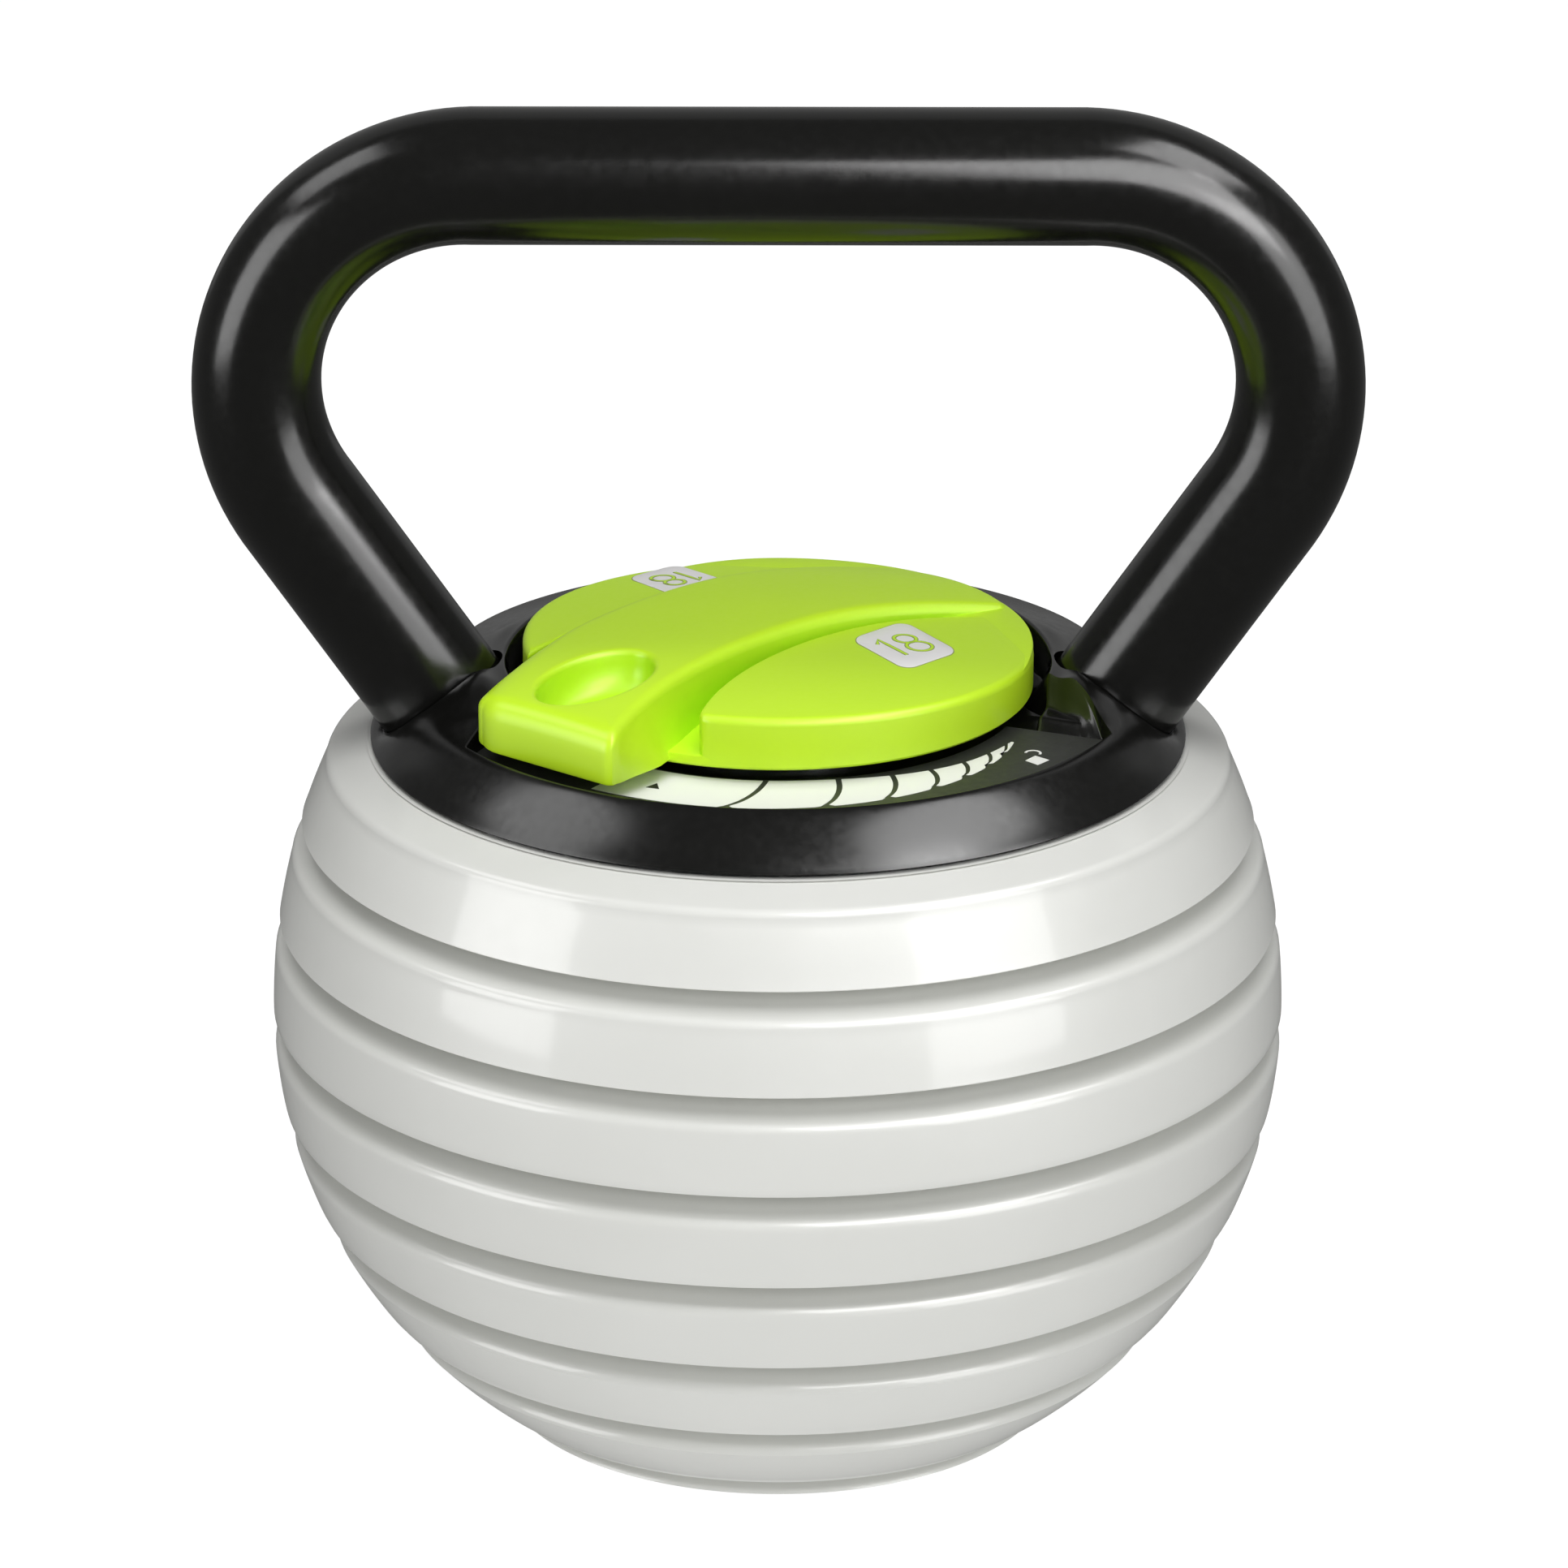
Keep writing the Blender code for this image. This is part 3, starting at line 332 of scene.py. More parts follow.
def underside(bottom, depth):
    """Hub recess, hub ring and the hollow between hub and wall."""
    wall = ball_radius(bottom) - POCKET_WALL
    recess = bottom + BOSS_HEIGHT + 0.5
    return [
        (KEY_RADIUS, recess), (BOSS_RADIUS + 0.4, recess), (BOSS_RADIUS + 0.4, bottom + 0.4),
        (BOSS_RADIUS + 0.8, bottom), (POCKET_INNER - 0.5, bottom), (POCKET_INNER, bottom + 0.5),
        (POCKET_INNER, bottom + depth - 2.0), (POCKET_INNER + 2.0, bottom + depth),
        (wall - 8.0, bottom + depth), (wall - 5.5, bottom + depth - 1.6), (wall, bottom + 0.4),
        (wall + 0.4, bottom),
    ]


def loose_plate(number, paint):
    node = f"plate_{number}"
    low, high = box_mm(node)
    bottom, boss_top = low.z, high.z
    top = boss_top - BOSS_HEIGHT
    rim_z = bottom + RIM_HEIGHT
    neck = (ball_radius(rim_z) - NECK_INSET, top)
    bore = keyed_bore(PLATE_COUNT + 2 - number)
    profile = side_profile(bottom, rim_z, neck)
    profile += [
        (BOSS_RADIUS + 0.6, top), (BOSS_RADIUS, top + 0.6), (BOSS_RADIUS, boss_top - 0.4),
        (BOSS_RADIUS - 0.4, boss_top), (bore, boss_top), (bore, bottom + LEDGE_HEIGHT),
        (KEY_RADIUS, bottom + LEDGE_HEIGHT),
    ]
    profile += underside(bottom, POCKET_DEPTH)
    piece(f"{node}_casting", lathe(profile), paint, "body", [node])


def top_plate(paint):
    """Plate 1 carries the casing on a short lip instead of a neck."""
    low, high = box_mm("plate_1")
    bottom, lip = low.z, high.z
    rim_z = bottom + RIM_HEIGHT
    rim = ball_radius(rim_z)
    chassis_low = box_mm("chassis_plate")[0].z - 0.3
    chassis_radius = box_mm("chassis_plate")[1].y + 0.5
    ledge = bottom + LEDGE_HEIGHT - 3.0
    shoulder = side_profile(bottom, rim_z, (rim - NECK_INSET, lip + NECK_DROP))[:-NECK_STEPS - 1]
    profile = shoulder + [
        (rim - 7.5, lip), (chassis_radius, lip), (chassis_radius, chassis_low), (RING_RADIUS, chassis_low),
        (RING_RADIUS, chassis_low - RING_DEPTH), (BORE_RADIUS, chassis_low - RING_DEPTH),
        (BORE_RADIUS, ledge), (KEY_RADIUS, ledge),
    ]
    profile += underside(bottom, TOP_POCKET_DEPTH)
    piece("plate_1_casting", lathe(profile), paint, "body", ["plate_1"])


def base_casting(paint, rubber):
    """Lowest element and the rubber pad in its underside."""
    low, high = box_mm("base_plate")
    bottom, boss_top = low.z, high.z
    top = boss_top - BOSS_HEIGHT
    rim_z = bottom + BASE_RIM_HEIGHT
    rim = ball_radius(rim_z)
    pad_high = box_mm("foot_pad")[1]
    socket = pad_high.x + 0.4
    bore = keyed_bore(1)
    ledge = bottom + BASE_LEDGE_HEIGHT
    profile = arc_points((ball_radius(bottom) - 0.6, bottom + 0.6), 0.6, 270.0, 330.0, 3)
    profile += [(ball_radius(z), z) for z in (bottom + 1.6, bottom + 2.6, bottom + 3.6)]
    profile += arc_points((rim - 1.6, rim_z - 1.6), 1.6, 15.0, 65.0, 5)
    profile += [
        (rim - 6.4, top - 1.5), (rim - 7.0, top - 0.8), (rim - 7.0, top), (BOSS_RADIUS + 0.6, top),
        (BOSS_RADIUS, top + 0.6), (BOSS_RADIUS, boss_top), (bore, boss_top), (bore, ledge),
        (KEY_RADIUS, ledge), (KEY_RADIUS, pad_high.z + 0.3), (socket, pad_high.z + 0.3),
        (socket, bottom + 0.3), (socket + 0.3, bottom),
    ]
    piece("base_casting", lathe(profile), paint, "body", ["base_plate"])
    radius, thick = pad_high.x, pad_high.z
    tread = [(radius - 0.8, 0.0), (radius - 0.2, 0.2), (radius, 0.8), (radius, thick - 0.2),
             (radius - 0.2, thick), (2.0, thick), (2.0, 0.0)]
    ring = 6.0
    while ring < radius - 4.0:
        tread += [(ring, 0.0), (ring + 0.4, 0.7), (ring + 1.4, 0.7), (ring + 1.8, 0.0)]
        ring += 4.0
    piece("sole_pad", lathe(tread), rubber, "body", ["foot_pad"])


# -------- head casing

def pocket_left(radius):
    """Angle of the scale pocket's left wall: it follows the bar's outer arc, 2 mm away."""
    heading = degrees(atan2(BAR_CENTRE.y, BAR_CENTRE.x)) % 360.0
    return heading - corner_angle(radius, BAR_CENTRE.length, BAR_OUTER + 2.0)


def pocket_right(radius):
    """Angle of the upper edge of the pocket's right end, which sweeps out to the rim."""
    out = radius - WELL_RADIUS
    return POCKET_END - 0.62 * out - 0.006 * out * out


def ledge_edge(radius):
    """Angle of the ledge's rounded edge below that end wall."""
    return LEDGE_END - 0.05 * (radius - WELL_RADIUS)


def casing_top(x, y):
    """Casing surface without the pocket: cone, top slope and the legs' flats, blended."""
    radius = hypot(x, y)
    climb = (CASING_RADIUS - radius) / (CASING_RADIUS - CASING_RIM_RADIUS)
    cone = mix(CASING_BOTTOM, CASING_RIM_Z, climb) + 4.0 * CONE_BULGE * climb * (1.0 - climb)
    fall = (WELL_EDGE_Z - CASING_RIM_Z) / (CASING_RIM_RADIUS - WELL_RADIUS)
    slope = CASING_RIM_Z + 0.1 + fall * (CASING_RIM_RADIUS - radius)
    body = soft_min(cone, slope, 0.5)
    rise = SEAT_LEAN * min(SEAT_REACH[1], max(SEAT_REACH[0], -y))
    seat = soft_max(SEAT_Z + rise - SEAT_DROP * (abs(x) - SEAT_X), CASING_BOTTOM + 0.8, 0.4)
    near_leg = smoothstep(radius, 57.0, 63.0) * (1.0 - smoothstep(abs(y), 13.0, 27.0))
    body += near_leg * max(0.0, soft_max(0.0, soft_min(seat, SEAT_CREST, 0.6) - body, 0.8) - 0.4)
    blend = min(3.0, 0.2 + 0.5 * max(0.0, body - CASING_BOTTOM))
    return max(CASING_BOTTOM + 0.02, min(cone, soft_min(body, seat, blend)))


def steep(distance, rate, round_off):
    """Fall of a wall of the given steepness, rounded at its top edge."""
    return rate * 0.5 * (distance + sqrt(distance * distance + 4.0 * round_off * round_off))


def casing_height(radius, angle):
    """Casing surface with the scale pocket cut in."""
    place = polar(radius, angle)
    top = casing_top(place.x, place.y)
    if radius > SCALE_POCKET_RADIUS + 0.5:
        return top
    per_degree = radians(radius)
    outer = top - steep(SCALE_POCKET_RADIUS - radius, POCKET_STEEPNESS, 0.05)
    left = top - steep((angle - pocket_left(radius)) * per_degree, POCKET_STEEPNESS, 0.05)
    into = (pocket_right(radius) - angle) * per_degree
    ledge = LEDGE_Z - 0.03 * (radius - WELL_RADIUS)
    step = (ledge_edge(radius) - angle) * per_degree
    right = soft_max(top - steep(into, 3.0, 0.1), ledge, 1.6)
    right = soft_min(right, ledge - 1.8 * step, 0.9)
    if into < 0.0:
        right = top
    deepest = max(outer, left, right)
    return min(top, soft_max(deepest, WELL_FLOOR, 0.3) if deepest > WELL_FLOOR + 0.02 else WELL_FLOOR)


def casing_columns():
    """Angles of the casing's mesh columns as functions of the radius.

    Columns near the pocket's ends follow the end walls, so that no wall crosses a row
    of faces; between them the columns are spread evenly.
    """
    def straight(angle):
        return lambda radius: angle

    def beside(edge, away):
        return lambda radius: edge(max(WELL_RADIUS, min(radius, 78.0))) + away

    def between(one, other, share):
        return lambda radius: mix(one(radius), other(radius), share)

    def ledge_line(radius):
        return min(ledge_edge(radius), pocket_right(radius) - 4.4)

    near = (-2.4, -1.2, -0.6, -0.3, -0.1, 0.1, 0.3, 0.5, 0.7, 0.9, 1.2, 1.8, 2.8)
    left = [beside(pocket_left, step) for step in near]
    right = [beside(pocket_right, -step) for step in reversed(near)]
    ledge = [beside(ledge_line, step) for step in (-4.0, -3.4, -2.8, -2.2, -1.6, -1.0, -0.5, 0.0, 0.5, 1.2)]

    def fill(one, other, count):
        return [between(one, other, (k + 1) / (count + 1)) for k in range(count)]

    columns = [straight(0.0)] + fill(straight(0.0), straight(180.0), 89) + [straight(180.0)]
    columns += fill(straight(180.0), left[0], 12) + left
    columns += fill(left[-1], ledge[0], 70) + ledge
    columns += fill(ledge[-1], right[0], 3) + right
    columns += fill(right[-1], straight(360.0), 9)
    return columns


def casing_radii():
    """Radii of the mesh rows over the top, from the bottom edge in to the well."""
    rows = [CASING_RADIUS, CASING_RADIUS - 0.2]
    rows += [mix(CASING_RADIUS - 0.8, 75.6, k / 9) for k in range(10)]
    rows += [75.2, 74.9, 74.7, 74.5, 74.3, 74.1, 73.8, 73.6, 73.45, 73.35, 73.25, 73.1, 72.9, 72.7, 72.5,
             72.3, 72.1, 71.8]
    rows += [mix(71.4, 58.2, k / 22) for k in range(23)]
    rows += [57.7, 57.3]
    return rows


def casing(paint):
    """Shell from its bottom edge over the top and the pocket into the well, and the cavity below."""
    columns = casing_columns()

    def row(radius, height):
        """One ring of the casing's mesh; height gives z at a radius and an angle."""
        angles = [column(radius) for column in columns]
        return [polar(radius, angle, height(radius, angle)) for angle in angles]

    rows = [row(radius, casing_height) for radius in casing_radii()]
    for step in range(7):
        turn = radians(15.0 * step)
        fall = WELL_ROUND * (1.0 - cos(turn))
        rows.append(row(WELL_RADIUS + WELL_ROUND * (1.0 - sin(turn)),
                        lambda radius, angle: max(WELL_FLOOR, casing_height(radius, angle) - fall)))
    edge = rows[-1]
    for share, inset in ((0.3, 0.0), (0.65, 0.0), (0.95, 0.0), (1.0, 0.5)):
        ring = []
        for point in edge:
            flat = Vector((point.x, point.y)).normalized() * (WELL_RADIUS - inset)
            ring.append(Vector((*flat, mix(point.z, WELL_FLOOR, share))))
        rows.append(ring)
    for radius, z in ((50.0, WELL_FLOOR), (SPINDLE_HOLE + 0.5, WELL_FLOOR), (SPINDLE_HOLE, WELL_FLOOR - 0.5),
                      (SPINDLE_HOLE, CAVITY_TOP), (CAVITY_RADIUS, CAVITY_TOP), (CAVITY_RADIUS, CASING_BOTTOM),
                      (CASING_RADIUS - 0.4, CASING_BOTTOM)):
        rows.append([polar(radius, column(WELL_RADIUS), z) for column in columns])
    shape = Shape()
    made = shape.skin(rows)
    shape.join(made[-1], made[0])
    shell = piece("head_casing", shape, paint, "body", ["top_housing"], sharp=48.0)
    for side in (1, -1):
        cut_leg_bore(shell, side)


def cut_leg_bore(shell, side):
    """Hole that a leg of the handle passes through, a little roomier on its inner side."""
    bore = Shape()
    rows = []
    for distance in LEG_BORE_SPAN:
        centre, across = leg_frame(distance)
        centre -= LEG_BORE_SHIFT * across
        ring = tube_ring(centre, across, TUBE_RADIUS + LEG_BORE_ROOM, LEG_BORE_SIDES)
        rows.append([(side * point.x, point.y, point.z) for point in ring])
    for row in bore.skin(rows):
        bore.faces.append(tuple(row))
    cutter = linked("leg_bore", mesh_of("leg_bore", bore))
    modifier = shell.modifiers.new("Bore", "BOOLEAN")
    modifier.operation = "DIFFERENCE"
    modifier.object = cutter
    bpy.context.view_layer.update()
    graph = bpy.context.evaluated_depsgraph_get()
    cut = bpy.data.meshes.new_from_object(shell.evaluated_get(graph))
    shell.modifiers.clear()
    shell.data = cut
    bpy.data.objects.remove(cutter)


# -------- handle

def leg_frame(distance):
    """Axis point of the right leg, measured down from the bend, and the direction across it."""
    turn = radians(BEND_ANGLE)
    x = GRIP_HALF + BEND_RADIUS * sin(turn) + distance * cos(turn)
    z = GRIP_Z - BEND_RADIUS + BEND_RADIUS * cos(turn) - distance * sin(turn)
    return Vector((x, 0.0, z)), Vector((sin(turn), 0.0, cos(turn)))


def tube_ring(centre, across, radius, sides):
    """Points round a tube that lies in the XZ plane, square to its axis."""
    ring = []
    for step in range(sides):
        u, v = polar(radius, 360.0 * step / sides)
        ring.append(centre + u * across + Vector((0.0, v, 0.0)))
    return ring


def handle_stations():
    """Centre, direction across the tube and radius, from the right foot to the left one."""
    foot = (leg_frame(0.0)[0].z - CASING_BOTTOM) / sin(radians(BEND_ANGLE))
    half = []
    for distance in (foot, 0.75 * foot, 0.5 * foot, 0.3 * foot, 14.0, 7.0):
        half.append((*leg_frame(distance), TUBE_RADIUS))
    bend_steps = 48
    for step in range(bend_steps + 1):
        share = step / bend_steps
        turn = radians(BEND_ANGLE * (1.0 - share))
        across = Vector((sin(turn), 0.0, cos(turn)))
        centre = Vector((GRIP_HALF, 0.0, GRIP_Z - BEND_RADIUS)) + BEND_RADIUS * across
        half.append((centre, across, mix(TUBE_RADIUS, BEND_TUBE_RADIUS, sin(pi * share))))
    for share in (0.75, 0.5, 0.25):
        half.append((Vector((GRIP_HALF * share, 0.0, GRIP_Z)), Vector((0.0, 0.0, 1.0)), TUBE_RADIUS))
    mirror = [(Vector((-c.x, 0.0, c.z)), Vector((-a.x, 0.0, a.z)), r) for c, a, r in reversed(half)]
    middle = [(Vector((0.0, 0.0, GRIP_Z)), Vector((0.0, 0.0, 1.0)), TUBE_RADIUS)]
    return half + middle + mirror


def handle(paint):
    """Bent tube, hollow, with its feet cut level."""
    stations = handle_stations()

    def ring(station, inset):
        centre, across, radius = station
        points = tube_ring(centre, across, radius - inset, TUBE_SIDES)
        if station in (stations[0], stations[-1]):
            axis = Vector((-across.z, 0.0, across.x))
            points = [point + axis * ((centre.z - point.z) / axis.z) for point in points]
        return points

    shape = Shape()
    made = shape.skin([ring(s, 0.0) for s in stations] + [ring(s, TUBE_WALL) for s in reversed(stations)])
    shape.join(made[-1], made[0])
    piece("handle_tube", shape, paint, "body", ["handle"])


# -------- scale

SCALE_INNER = 50.2
SCALE_OUTER = 72.9
SCALE_START, SCALE_END = 208.0, 338.0
SCALE_TIP = 214.0  # up to here the plate tapers to a point, under the dial
FIELD_START = 235.5
FIELD_END = 330.0
SEPARATORS = ((267.3, 261.0), (283.6, 278.5), (295.7, 290.1), (304.6, 300.1), (313.0, 308.0),
              (320.6, 315.5), (327.1, 322.5))
PRINT_HEIGHT = 0.06
PRINT_SPAN = (SCALE_TOP - 0.2, SCALE_TOP + PRINT_HEIGHT)  # lowest and highest level of a print
HALF_LINE = 0.6  # half of the dark line between two fields
FIELD_CORNER = 1.2  # the fields' outer corners are rounded over this width


def field_inner(angle):
    return 50.8 + 4.2 * smoothstep(angle, 275.0, 318.0)


def field_outer(angle):
    """Outer edge of the white fields, which taper away clockwise from above."""
    return 66.6 - 11.2 * (max(0.0, angle - 255.0) / 75.0) ** 2.2


def separator(number, share):
    """Angle of one separating line at a share of the way out; it leans and bows."""
    inner, outer = SEPARATORS[number]
    return mix(inner, outer, share) + 0.9 * sin(pi * share)


def slab(shape, rows, bottom, top):
    """A thin plate from rows of flat points, closed all round."""
    over = shape.skin([[(*p, top) for p in row] for row in rows], closed=False)
    under = shape.skin([[(*p, bottom) for p in row] for row in rows], closed=False)
    shape.join(border_of(over), border_of(under))


def scale_face(dark):
    """Dark printed plate on the pocket's floor."""
    shape = Shape()
    low = box_mm("scale_ring")[0].z
    rows = []
    for step in range(131):
        angle = mix(SCALE_START, SCALE_END, step / 130)
        inner = SCALE_INNER if angle > SCALE_TIP else 57.0
        if angle < SCALE_TIP:
            inner = mix(66.0, SCALE_INNER, (angle - SCALE_START) / 6.0)
        rows.append([polar(mix(inner, SCALE_OUTER, k / 6), angle) for k in range(7)])
    slab(shape, rows, low, SCALE_TOP)
    piece("scale_face", shape, dark, "body", ["scale_ring"])


def scale_fields(white):
    """White fields of the eight positions, with thin dark lines left between them."""
    shape = Shape()
    columns = 16
    for number in range(len(SEPARATORS) + 1):
        rows = []
        for k in range(9):
            share = k / 8
            start = FIELD_START if number == 0 else separator(number - 1, share)
            end = FIELD_END if number == len(SEPARATORS) else separator(number, share)
            row = []
            for c in range(columns + 1):
                angle = mix(start, end, c / columns)
                radius = mix(field_inner(angle), field_outer(angle), share)
                margin = degrees(HALF_LINE / radius)
                angle = min(max(angle, start + margin), end - margin)
                corner = 0.0
                if share > 0.8 and number > 0:
                    corner = max(0.0, 1.0 - (angle - start - margin) * radians(radius) / FIELD_CORNER)
                if share > 0.8 and number < len(SEPARATORS):
                    corner = max(corner, 1.0 - (end - margin - angle) * radians(radius) / FIELD_CORNER)
                row.append(polar(radius - 0.9 * corner ** 2 * (share - 0.8) / 0.2, angle))
            rows.append(row)
        slab(shape, rows, *PRINT_SPAN)
    piece("scale_fields", shape, white, "body")


def ribbon(shape, points, width, bottom, top, closed=False):
    """Flat band of even width along a line of flat points."""
    rows = []
    count = len(points)
    for index, point in enumerate(points):
        before = points[index - 1] if index or closed else point
        after = points[(index + 1) % count] if index < count - 1 or closed else point
        along = (Vector(after) - Vector(before)).normalized()
        across = Vector((-along.y, along.x)) * 0.5 * width
        rows.append([Vector(point) - across, Vector(point) + across])
    if closed:
        rows.append(rows[0])
    slab(shape, rows, bottom, top)


def scale_marks(white, black):
    """Thin arc along the pocket's outer edge, the start triangle and the open padlock."""
    line = Shape()
    points = [polar(mix(68.3, 71.9, smoothstep(a, 284.0, 332.0)), a) for a in range(284, 333)]
    ribbon(line, points, 0.45, *PRINT_SPAN)
    piece("scale_line", line, white, "body")
    lock = Shape()
    body = [[polar(63.2, 322.0), polar(66.7, 321.6)], [polar(63.2, 325.2), polar(66.9, 324.8)]]
    slab(lock, body, *PRINT_SPAN)
    middle = polar(62.0, 326.2)
    shackle = [middle + polar(1.5, a) for a in range(-30, 175, 12)]
    ribbon(lock, shackle, 0.5, *PRINT_SPAN)
    piece("open_padlock_mark", lock, white, "body")
    mark = Shape()
    corners = [polar(60.6, 244.2), polar(57.6, 245.2), polar(60.4, 246.9)]
    top = SCALE_TOP + 2.0 * PRINT_HEIGHT
    slab(mark, [[corners[0], corners[0]], [corners[1], corners[2]]], SCALE_TOP - 0.1, top)
    piece("start_mark", mark, black, "body")


# -------- dial

def lobe_height(x, y):
    """Gently domed top of the lobes, lower towards the back."""
    out = min(1.0, (x * x + y * y) / DIAL_RADIUS ** 2)
    ahead = Vector((x, y)).dot(polar(1.0, BAR_DIRECTION))
    return mix(LOBE_MIDDLE_Z, LOBE_RIM_Z - LOBE_BACK_FALL * smoothstep(ahead, -40.0, DIAL_RADIUS), out)


def bar_height(x, y):
    """Crowned top of the bar, highest over the axis and along its middle."""
    heading = polar(1.0, BAR_DIRECTION)
    ahead = x * heading.x + y * heading.y
    ahead /= BAR_FRONT_REACH if ahead < 0.0 else BAR_BACK_REACH
    across = (Vector((x, y)) - BAR_CENTRE).length - 0.5 * (BAR_INNER + BAR_OUTER)
    end_z = BAR_END_Z if ahead < 0.0 else BAR_BACK_Z
    crest = mix(BAR_CREST_Z, end_z, min(1.2, ahead * ahead))
    return crest - mix(0.5, 1.3, smoothstep(ahead, 0.2, 1.0)) * (across / 17.5) ** 2


def ray_out(origin, heading, centre, radius):
    """Distance along a ray from inside a circle to the circle."""
    start = origin - centre
    along = start.dot(heading)
    return -along + sqrt(max(0.0, along * along - start.length_squared + radius * radius))


def ray_in(origin, heading, centre, radius):
    """Distance along a ray from outside a circle to the circle, far away if it misses."""
    start = origin - centre
    along = start.dot(heading)
    inside = along * along - start.length_squared + radius * radius
    if along >= 0.0 or inside <= 0.0:
        return 400.0
    return -along - sqrt(inside)


def lobe(shape, origin, beyond_bar):
    """One lobe of the dial: everything of the disc on one side of the bar."""
    steps = 220
    rim_round, groove_round, corner = 1.7, 0.8, 1.6
    middle = Vector((0.0, 0.0))

    def ring(share, drop, skirt=None):
        made = []
        for step in range(steps):
            heading = polar(1.0, 360.0 * step / steps)
            rim = ray_out(origin, heading, middle, DIAL_RADIUS - share * rim_round)
            if beyond_bar:
                side = ray_in(origin, heading, BAR_CENTRE, BAR_OUTER + GROOVE_WIDTH + share * groove_round)
            else:
                side = ray_out(origin, heading, GROOVE_CENTRE, GROOVE_RADIUS - share * groove_round)
            reach = soft_min(rim, side, corner)
            at_groove = smoothstep(rim - side, -2.0, 2.0)
            flat = origin + heading * reach
            fall = drop * mix(rim_round, groove_round, at_groove)
            made.append(Vector((*flat, lobe_height(*flat) - fall if skirt is None else skirt)))
        return made

    rows = [ring(0.35, 1.0, skirt=DIAL_BOTTOM + 0.1), ring(0.0, 1.0, skirt=DIAL_BOTTOM + 0.6)]
    for step in range(9):
        turn = radians(90.0 * step / 8)
        rows.append(ring(1.0 - cos(turn), 1.0 - sin(turn)))
    inner = rows[-1]
    for share in (0.94, 0.85, 0.72, 0.58, 0.44, 0.3, 0.16, 0.06):
        flats = [origin + (Vector((p.x, p.y)) - origin) * share for p in inner]
        rows.append(draped(flats, lobe_height))
    made = shape.skin(rows)
    shape.fan(made[-1], (*origin, lobe_height(*origin)))
    shape.fan(made[0], (*origin, DIAL_BOTTOM + 0.1))


def dial_base(shape):
    """Disc under the lobes; its top is the grooves' floor, which rises towards the back."""
    heading = polar(1.0, BAR_DIRECTION)

    def floor_z(flat):
        return mix(GROOVE_FRONT_Z, GROOVE_BACK_Z, smoothstep(flat.dot(heading), -46.0, 40.0))

    radius = DIAL_RADIUS - BASE_INSET
    rows = []
    angles = [360.0 * k / 200 for k in range(200)]
    for inset, z in ((4.0, DIAL_BOTTOM + 1.6), (4.0, DIAL_BOTTOM), (0.5, DIAL_BOTTOM),
                     (0.0, DIAL_BOTTOM + 0.5)):
        rows.append([polar(radius - inset, angle, z) for angle in angles])
    for inset, fall in ((0.0, 0.6), (0.15, 0.15), (0.6, 0.0), (6.0, 0.0), (20.0, 0.0), (36.0, 0.0)):
        flats = [polar(radius - inset, angle) for angle in angles]
        rows.append([Vector((*flat, floor_z(flat) - fall)) for flat in flats])
    made = shape.skin(rows)
    shape.fan(made[-1], (0.0, 0.0, floor_z(Vector((0.0, 0.0)))))
    hub = shape.skin([[polar(r, angle, z) for angle in angles]
                      for r, z in ((radius - 4.0, DIAL_BOTTOM + 1.6), (22.5, DIAL_BOTTOM + 1.6),
                                   (22.0, DIAL_BOTTOM + 1.2), (22.0, DIAL_BOTTOM))])
    shape.fan(hub[-1], (0.0, 0.0, DIAL_BOTTOM))


def bar_end_angles(distance):
    """Where a line at this distance from the bar's centre meets the nose face and the dial's back rim."""
    nose = polar(1.0, NOSE_ANGLE)
    gap = NOSE_REACH - BAR_CENTRE.dot(nose)
    lean = degrees(acos(gap / distance))
    toward = degrees(atan2(-BAR_CENTRE.y, -BAR_CENTRE.x))
    return NOSE_ANGLE - lean, toward - corner_angle(distance, BAR_CENTRE.length, DIAL_RADIUS)


def edge_steps(radius, turns):
    """Distances in from an edge for the steps of its rounding."""
    return [radius * (1.0 - cos(radians(turn))) for turn in turns]


